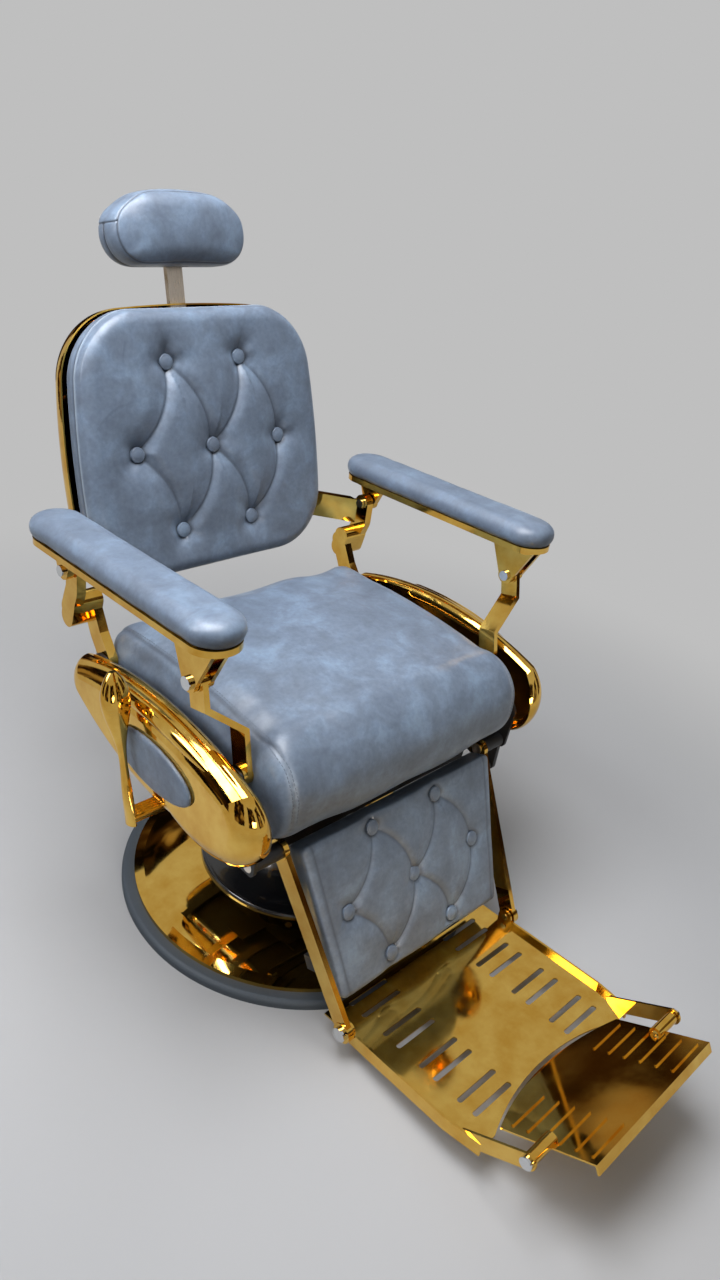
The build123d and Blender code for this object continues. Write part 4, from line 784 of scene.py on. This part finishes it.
seatLook = {
    "voxel": 6 * mm, "frames": 16, "cap": 6 * mm, "soften": 10, "levels": 1, "fill": 0.85,
    "seamX": 0.247, "seamDeep": 1.6 * mm, "seamWide": 3.4 * mm, "seamDark": 0.45,
    "seamReach": 30 * mm, "seamAbove": 0.38, "rowsApart": 8.4 * mm,
    "wearFront": -0.20, "wearLong": 35 * mm, "wearHigh": 0.44, "wearTall": 50 * mm,     # where legs rub
    "wearWide": 7 * mm, "wearPale": 0.75, "grit": 6.25 * mm,
    "seamLine": [     # y and z along the seam, rear to front
        (0.225, 0.49), (0.15, 0.50), (0.0, 0.508), (-0.139, 0.497),
        (-0.195, 0.474), (-0.223, 0.43), (-0.223, 0.39),
    ],
}


def sewSeat(pad, look):
    # draws in both side seams, paints shade into them and rubs their front corners pale
    paintedShade = pad.data.attributes.new("paintedShade", "FLOAT", "POINT")
    wear = pad.data.attributes.new("wear", "FLOAT", "POINT")
    normals = [vertex.normal.copy() for vertex in pad.data.vertices]     # read before any point moves
    for vertex, normal in zip(pad.data.vertices, normals):
        x, y, z = vertex.co
        past = abs(abs(x) - look["seamX"])
        if past < look["seamReach"] and z > look["seamAbove"]:
            share = fadeOut(past, look["seamWide"])
            vertex.co -= normal * look["seamDeep"] * share
            # painted shade in the sunk seam
            paintedShade.data[vertex.index].value = look["seamDark"] * share
            rub = fadeOut(y - look["wearFront"], look["wearLong"])
            rub *= fadeOut(z - look["wearHigh"], look["wearTall"])
            patchy = 0.5 + 0.5 * noise.noise(vertex.co / look["grit"])
            wear.data[vertex.index].value = look["wearPale"] * rub * patchy * fadeOut(past, look["wearWide"])


seatPad = padFromNode("seatPad", "seat_cushion", "seat", seatLook)
sewSeat(seatPad, seatLook)
for side, sign in (("right", -1), ("left", 1)):
    for row, shift in (("top", -seatLook["rowsApart"] / 2), ("band", seatLook["rowsApart"] / 2)):
        guide = [(sign * (seatLook["seamX"] + shift), y, z) for y, z in seatLook["seamLine"]]
        stitchRow(f"seatStitches_{side}_{row}", seatPad, guide, "seat")
print("stage: seat and arms upholstered")

# lip and bead on the side panels: both follow one arc through three points of the side view
panelTrim = {
    "rearTop": (0.228, 0.458), "middleTop": (0.010, 0.496), "noseTop": (-0.200, 0.462),
    "lipRadius": 0.0026, "lipDepth": 0.3185, "lipRear": 0.224, "lipNose": -0.197, "lipTip": 0.03,
    "lipAround": 12,
    "beadRadius": 0.0150, "beadDepth": 0.3300, "beadDrop": 0.0185, "beadRear": 0.120, "beadNose": -0.196,
    "beadTail": 0.06, "beadThinning": 0.55, "beadFullness": 0.8, "beadAround": 24, "steps": 70,
}


def arcThrough(a, b, c):
    # centre and radius of the circle through three points of the side view
    ax, ay = a
    bx, by = b
    cx, cy = c
    aa, bb, cc = ax * ax + ay * ay, bx * bx + by * by, cx * cx + cy * cy
    d = 2 * (ax * (by - cy) + bx * (cy - ay) + cx * (ay - by))
    ux = (aa * (by - cy) + bb * (cy - ay) + cc * (ay - by)) / d
    uy = (aa * (cx - bx) + bb * (ax - cx) + cc * (bx - ax)) / d
    return ux, uy, math.hypot(ax - ux, ay - uy)


arcY, arcZ, arcRadius = arcThrough(panelTrim["rearTop"], panelTrim["middleTop"], panelTrim["noseTop"])


def alongTop(sign, depth, drop, rear, nose):
    def pointAt(t):
        y = rear + (nose - rear) * t
        z = arcZ + math.sqrt((arcRadius - drop) ** 2 - (y - arcY) ** 2)
        return Vector((sign * depth, y, z))
    return pointAt


def lipRadiusAt(t):
    end = math.sqrt(min(t, 1 - t) / panelTrim["lipTip"] + 1e-6)     # the last bit keeps the root real at t = 1
    return panelTrim["lipRadius"] * max(0.05, min(1, end))


def beadRadiusAt(t):
    nose = min(1, max(0.0, (1 - t) / panelTrim["beadThinning"]))
    tail = min(1, max(0.0, t / panelTrim["beadTail"]))
    swell = math.sin(nose * math.pi / 2) ** panelTrim["beadFullness"] * math.sqrt(tail * (2 - tail))
    return panelTrim["beadRadius"] * max(0.02, swell)


def wrapTube(name, pointAt, radiusAt, around):
    # a flat grid rolled into a closed tube whose middle follows pointAt and whose ends are drawn to a point
    clearSelection()
    bpy.ops.mesh.primitive_grid_add(x_subdivisions=panelTrim["steps"], y_subdivisions=around, size=2)
    tube = bpy.context.object
    tube.name = name
    side = Vector((1, 0, 0))
    ahead = 0.004     # share of the run over which its direction is taken
    for vertex in tube.data.vertices:
        t = (vertex.co.x + 1) / 2
        angle = math.pi * vertex.co.y
        along = (pointAt(t + ahead) - pointAt(t - ahead)).normalized()
        up = side.cross(along).normalized()
        vertex.co = pointAt(t) + (side * math.cos(angle) + up * math.sin(angle)) * radiusAt(t)
    closeShell(tube, 0.02 * mm, fill=True)
    bpy.ops.object.shade_smooth()
    tube.data.materials.append(goldPlate)
    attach(tube, "seat")
    return tube


for side, sign in (("right", -1), ("left", 1)):
    lipAt = alongTop(
        sign, panelTrim["lipDepth"], panelTrim["lipRadius"], panelTrim["lipRear"], panelTrim["lipNose"]
    )
    wrapTube(f"panelLip_{side}", lipAt, lipRadiusAt, panelTrim["lipAround"])
    beadAt = alongTop(
        sign, panelTrim["beadDepth"], panelTrim["beadDrop"], panelTrim["beadRear"], panelTrim["beadNose"]
    )
    wrapTube(f"panelBead_{side}", beadAt, beadRadiusAt, panelTrim["beadAround"])
print("stage: panel trim added")


def seenRays(tree):
    # 1 for what the eye, a mirror or a glass sees directly
    path = addNode(tree, "ShaderNodeLightPath").outputs
    direct = addNode(
        tree, "ShaderNodeMath", settings={"operation": "ADD"},
        links={0: path["Is Camera Ray"], 1: path["Is Glossy Ray"]},
    )
    return addNode(
        tree, "ShaderNodeMath", settings={"operation": "ADD", "use_clamp": True},
        links={0: direct, 1: path["Is Transmission Ray"]},
    )


stageLook = {
    "paper": "9D9D9D", "paperLow": "999999", "bounce": "5C5C5C", "back": "BFBFBF",
    "cloud": 0.9, "size": 60, "nearEdge": 0.75, "farEdge": 1.7,
}
clearSelection()
bpy.ops.mesh.primitive_plane_add(size=stageLook["size"])
floor = bpy.context.object
floor.name = "studioFloor"
# matt seamless paper: a soft even grey with no shine
floorMat, floorTree, floorPlace = newMaterial("pale matt studio paper")
floorCloud = addNode(
    floorTree, "ShaderNodeTexNoise", links={"Vector": floorPlace},
    values={"Scale": 1 / stageLook["cloud"], "Detail": 2.0},
)
paperTint = addNode(floorTree, "ShaderNodeValToRGB", links={0: floorCloud}, stops=[
    (0.3, linear(stageLook["paperLow"])), (0.7, linear(stageLook["paper"])),
])
# the light that the paper throws back up is held down, so the undersides stay deep
paperColour = addNode(
    floorTree, "ShaderNodeMix", settings={"data_type": "RGBA", "blend_type": "MIX"},
    values={6: linear(stageLook["bounce"])}, links={0: seenRays(floorTree), 7: paperTint},
)
litPaper = addNode(
    floorTree, "ShaderNodeBsdfPrincipled", values={"Roughness": 0.95, "Specular IOR Level": 0.1},
    links={"Base Color": paperColour.outputs[2]},
)
# the paper keeps its shadow near the chair and runs out into the even backdrop further off
away = addNode(floorTree, "ShaderNodeVectorMath", settings={"operation": "LENGTH"}, links={0: floorPlace})
fade = addNode(
    floorTree, "ShaderNodeMapRange", settings={"interpolation_type": "SMOOTHSTEP"}, links={0: away.outputs[1]},
    values={1: stageLook["nearEdge"], 2: stageLook["farEdge"], 3: 0.0, 4: 1.0},
)
share = addNode(
    floorTree, "ShaderNodeMath", settings={"operation": "MULTIPLY"}, links={0: fade, 1: seenRays(floorTree)}
)
evenPaper = addNode(
    floorTree, "ShaderNodeEmission", values={"Color": linear(stageLook["back"]), "Strength": 1.0}
)
floorMix = addNode(floorTree, "ShaderNodeMixShader", links={0: share, 1: litPaper, 2: evenPaper})
addNode(floorTree, "ShaderNodeOutputMaterial", links={0: floorMix})
floor.data.materials.append(floorMat)

# the room's light comes mostly from above, while eye and mirrors see the even backdrop
skyLook = {"strength": 0.36, "ground": "3C3A38", "level": "615F5D", "wall": "B8B8B8", "ceiling": "FFFFFF"}
world = bpy.data.worlds.new("studio")
bpy.context.scene.world = world
world.use_nodes = True
skyTree = world.node_tree
skyTree.nodes.clear()
direction = addNode(skyTree, "ShaderNodeTexCoord").outputs["Generated"]
height = addNode(skyTree, "ShaderNodeSeparateXYZ", links={0: direction}).outputs[2]
rise = addNode(skyTree, "ShaderNodeMapRange", links={0: height}, values={1: -0.2, 2: 1.0, 3: 0.0, 4: 1.0})
bands = addNode(skyTree, "ShaderNodeValToRGB", links={0: rise}, stops=[
    (0.10, linear(skyLook["ground"])), (0.30, linear(skyLook["level"])),
    (0.55, linear(skyLook["wall"])), (0.9, linear(skyLook["ceiling"])),
])
roomLight = addNode(
    skyTree, "ShaderNodeBackground", values={"Strength": skyLook["strength"]}, links={"Color": bands}
)
backdrop = addNode(
    skyTree, "ShaderNodeBackground", values={"Color": linear(stageLook["back"]), "Strength": 1.0}
)
chosen = addNode(skyTree, "ShaderNodeMixShader", links={0: seenRays(skyTree), 1: roomLight, 2: backdrop})
addNode(skyTree, "ShaderNodeOutputWorld", links={0: chosen})

# a dim wall around the stage that glows with a fixed blotchy light of its own instead of being lit, seen only
# as reflected streaks in the polished metal
wallLook = {
    "panels": 9, "radius": 3.0, "wide": 1.45, "low": 0.15, "high": 2.3, "turn": 14,
    "dark": "0B0805", "middle": "3B2A18", "pale": "A08F74", "blotch": 0.55,
}
wallMat, wallTree, wallPlace = newMaterial("dim glowing wall")
wallCloud = addNode(
    wallTree, "ShaderNodeTexNoise", links={"Vector": wallPlace},
    values={"Scale": 1 / wallLook["blotch"], "Detail": 1.5, "Roughness": 0.5, "Distortion": 0.4},
)
wallColour = addNode(wallTree, "ShaderNodeValToRGB", links={0: wallCloud}, stops=[
    (0.38, linear(wallLook["dark"])), (0.52, linear(wallLook["middle"])), (0.66, linear(wallLook["pale"])),
])
wallGlow = addNode(wallTree, "ShaderNodeEmission", values={"Strength": 1.0}, links={"Color": wallColour})
addNode(wallTree, "ShaderNodeOutputMaterial", links={0: wallGlow})
wallTall = wallLook["high"] - wallLook["low"]
wallStand = Matrix.Translation((0, -wallLook["radius"], wallLook["low"] + wallTall / 2))
for index in range(wallLook["panels"]):
    clearSelection()
    bpy.ops.mesh.primitive_plane_add(size=1)
    card = bpy.context.object
    card.name = f"roomWall_{index}"
    swing = Matrix.Rotation(math.radians(wallLook["turn"] + index * 360 / wallLook["panels"]), 4, "Z")
    upright = Matrix.Rotation(math.radians(90), 4, "X")
    card.data.transform(swing @ wallStand @ upright @ Matrix.Diagonal((wallLook["wide"], wallTall, 1, 1)))
    card.data.materials.append(wallMat)
    card.visible_camera = card.visible_diffuse = card.visible_shadow = card.visible_transmission = False

lampLook = {
    "keyLight": {
        "place": (-0.35, 0.1, 2.3), "target": (-0.05, 0.0, 0.5), "size": (1.3, 1.2),
        "power": 69, "colour": "F8FAFF",
    },
    "sideLight": {
        "place": (-1.6, 0.5, 1.9), "target": (-0.3, 0, 0.6), "size": (0.8, 1.2),
        "power": 29, "colour": "F8FAFF",
    },
    "farLight": {     # unseen in mirrors, or the footplate would show it as one white sheet
        "place": (1.8, 1.4, 2.2), "target": (0, 0, 0.6), "size": (1.5, 1.2),
        "power": 14, "colour": "F6F9FF", "mirrored": False,
    },
    "lowLight": {     # kept on the legrest and tread
        "place": (-0.7, -2.1, 0.5), "target": (0, -0.4, 0.16), "size": (0.8, 0.4),
        "power": 1.3, "colour": "FFF4E6", "spread": 42,
    },
}


def softBox(name, place, target, size, power, colour, spread=180, mirrored=True):
    data = bpy.data.lights.new(name, "AREA")
    data.shape = "RECTANGLE"
    data.size, data.size_y = size
    data.energy = power
    data.color = linear(colour)[:3]
    data.spread = math.radians(spread)
    lamp = bpy.data.objects.new(name, data)
    bpy.context.scene.collection.objects.link(lamp)
    lamp.location = place
    lamp.rotation_euler = (Vector(target) - Vector(place)).to_track_quat("-Z", "Y").to_euler()
    lamp.visible_glossy = mirrored


for name, look in lampLook.items():
    softBox(name, **look)

cameraLook = {
    "azimuth": -48.2, "elevation": 29.5, "roll": 9.4, "place": (-0.992, -0.9539, 1.2975),
    "lens": 26.94, "sensor": 36.0, "farthest": 100,
}
cameraData = bpy.data.cameras.new("camera")
cameraData.lens = cameraLook["lens"]
cameraData.sensor_width = cameraLook["sensor"]
cameraData.clip_end = cameraLook["farthest"]
camera = bpy.data.objects.new("camera", cameraData)
bpy.context.scene.collection.objects.link(camera)
azimuth, elevation, roll = (math.radians(cameraLook[key]) for key in ("azimuth", "elevation", "roll"))
toEye = Vector((
    math.sin(azimuth) * math.cos(elevation), -math.cos(azimuth) * math.cos(elevation), math.sin(elevation),
))
right = Vector((math.cos(azimuth), math.sin(azimuth), 0))
up = toEye.cross(right)
rightRolled = right * math.cos(roll) + up * math.sin(roll)
upRolled = up * math.cos(roll) - right * math.sin(roll)
turn = Matrix((rightRolled, upRolled, toEye)).transposed().to_4x4()
camera.matrix_world = Matrix.Translation(cameraLook["place"]) @ turn
bpy.context.scene.camera = camera
bpy.context.scene.view_settings.view_transform = "Standard"
print("stage: floor, light and camera set")
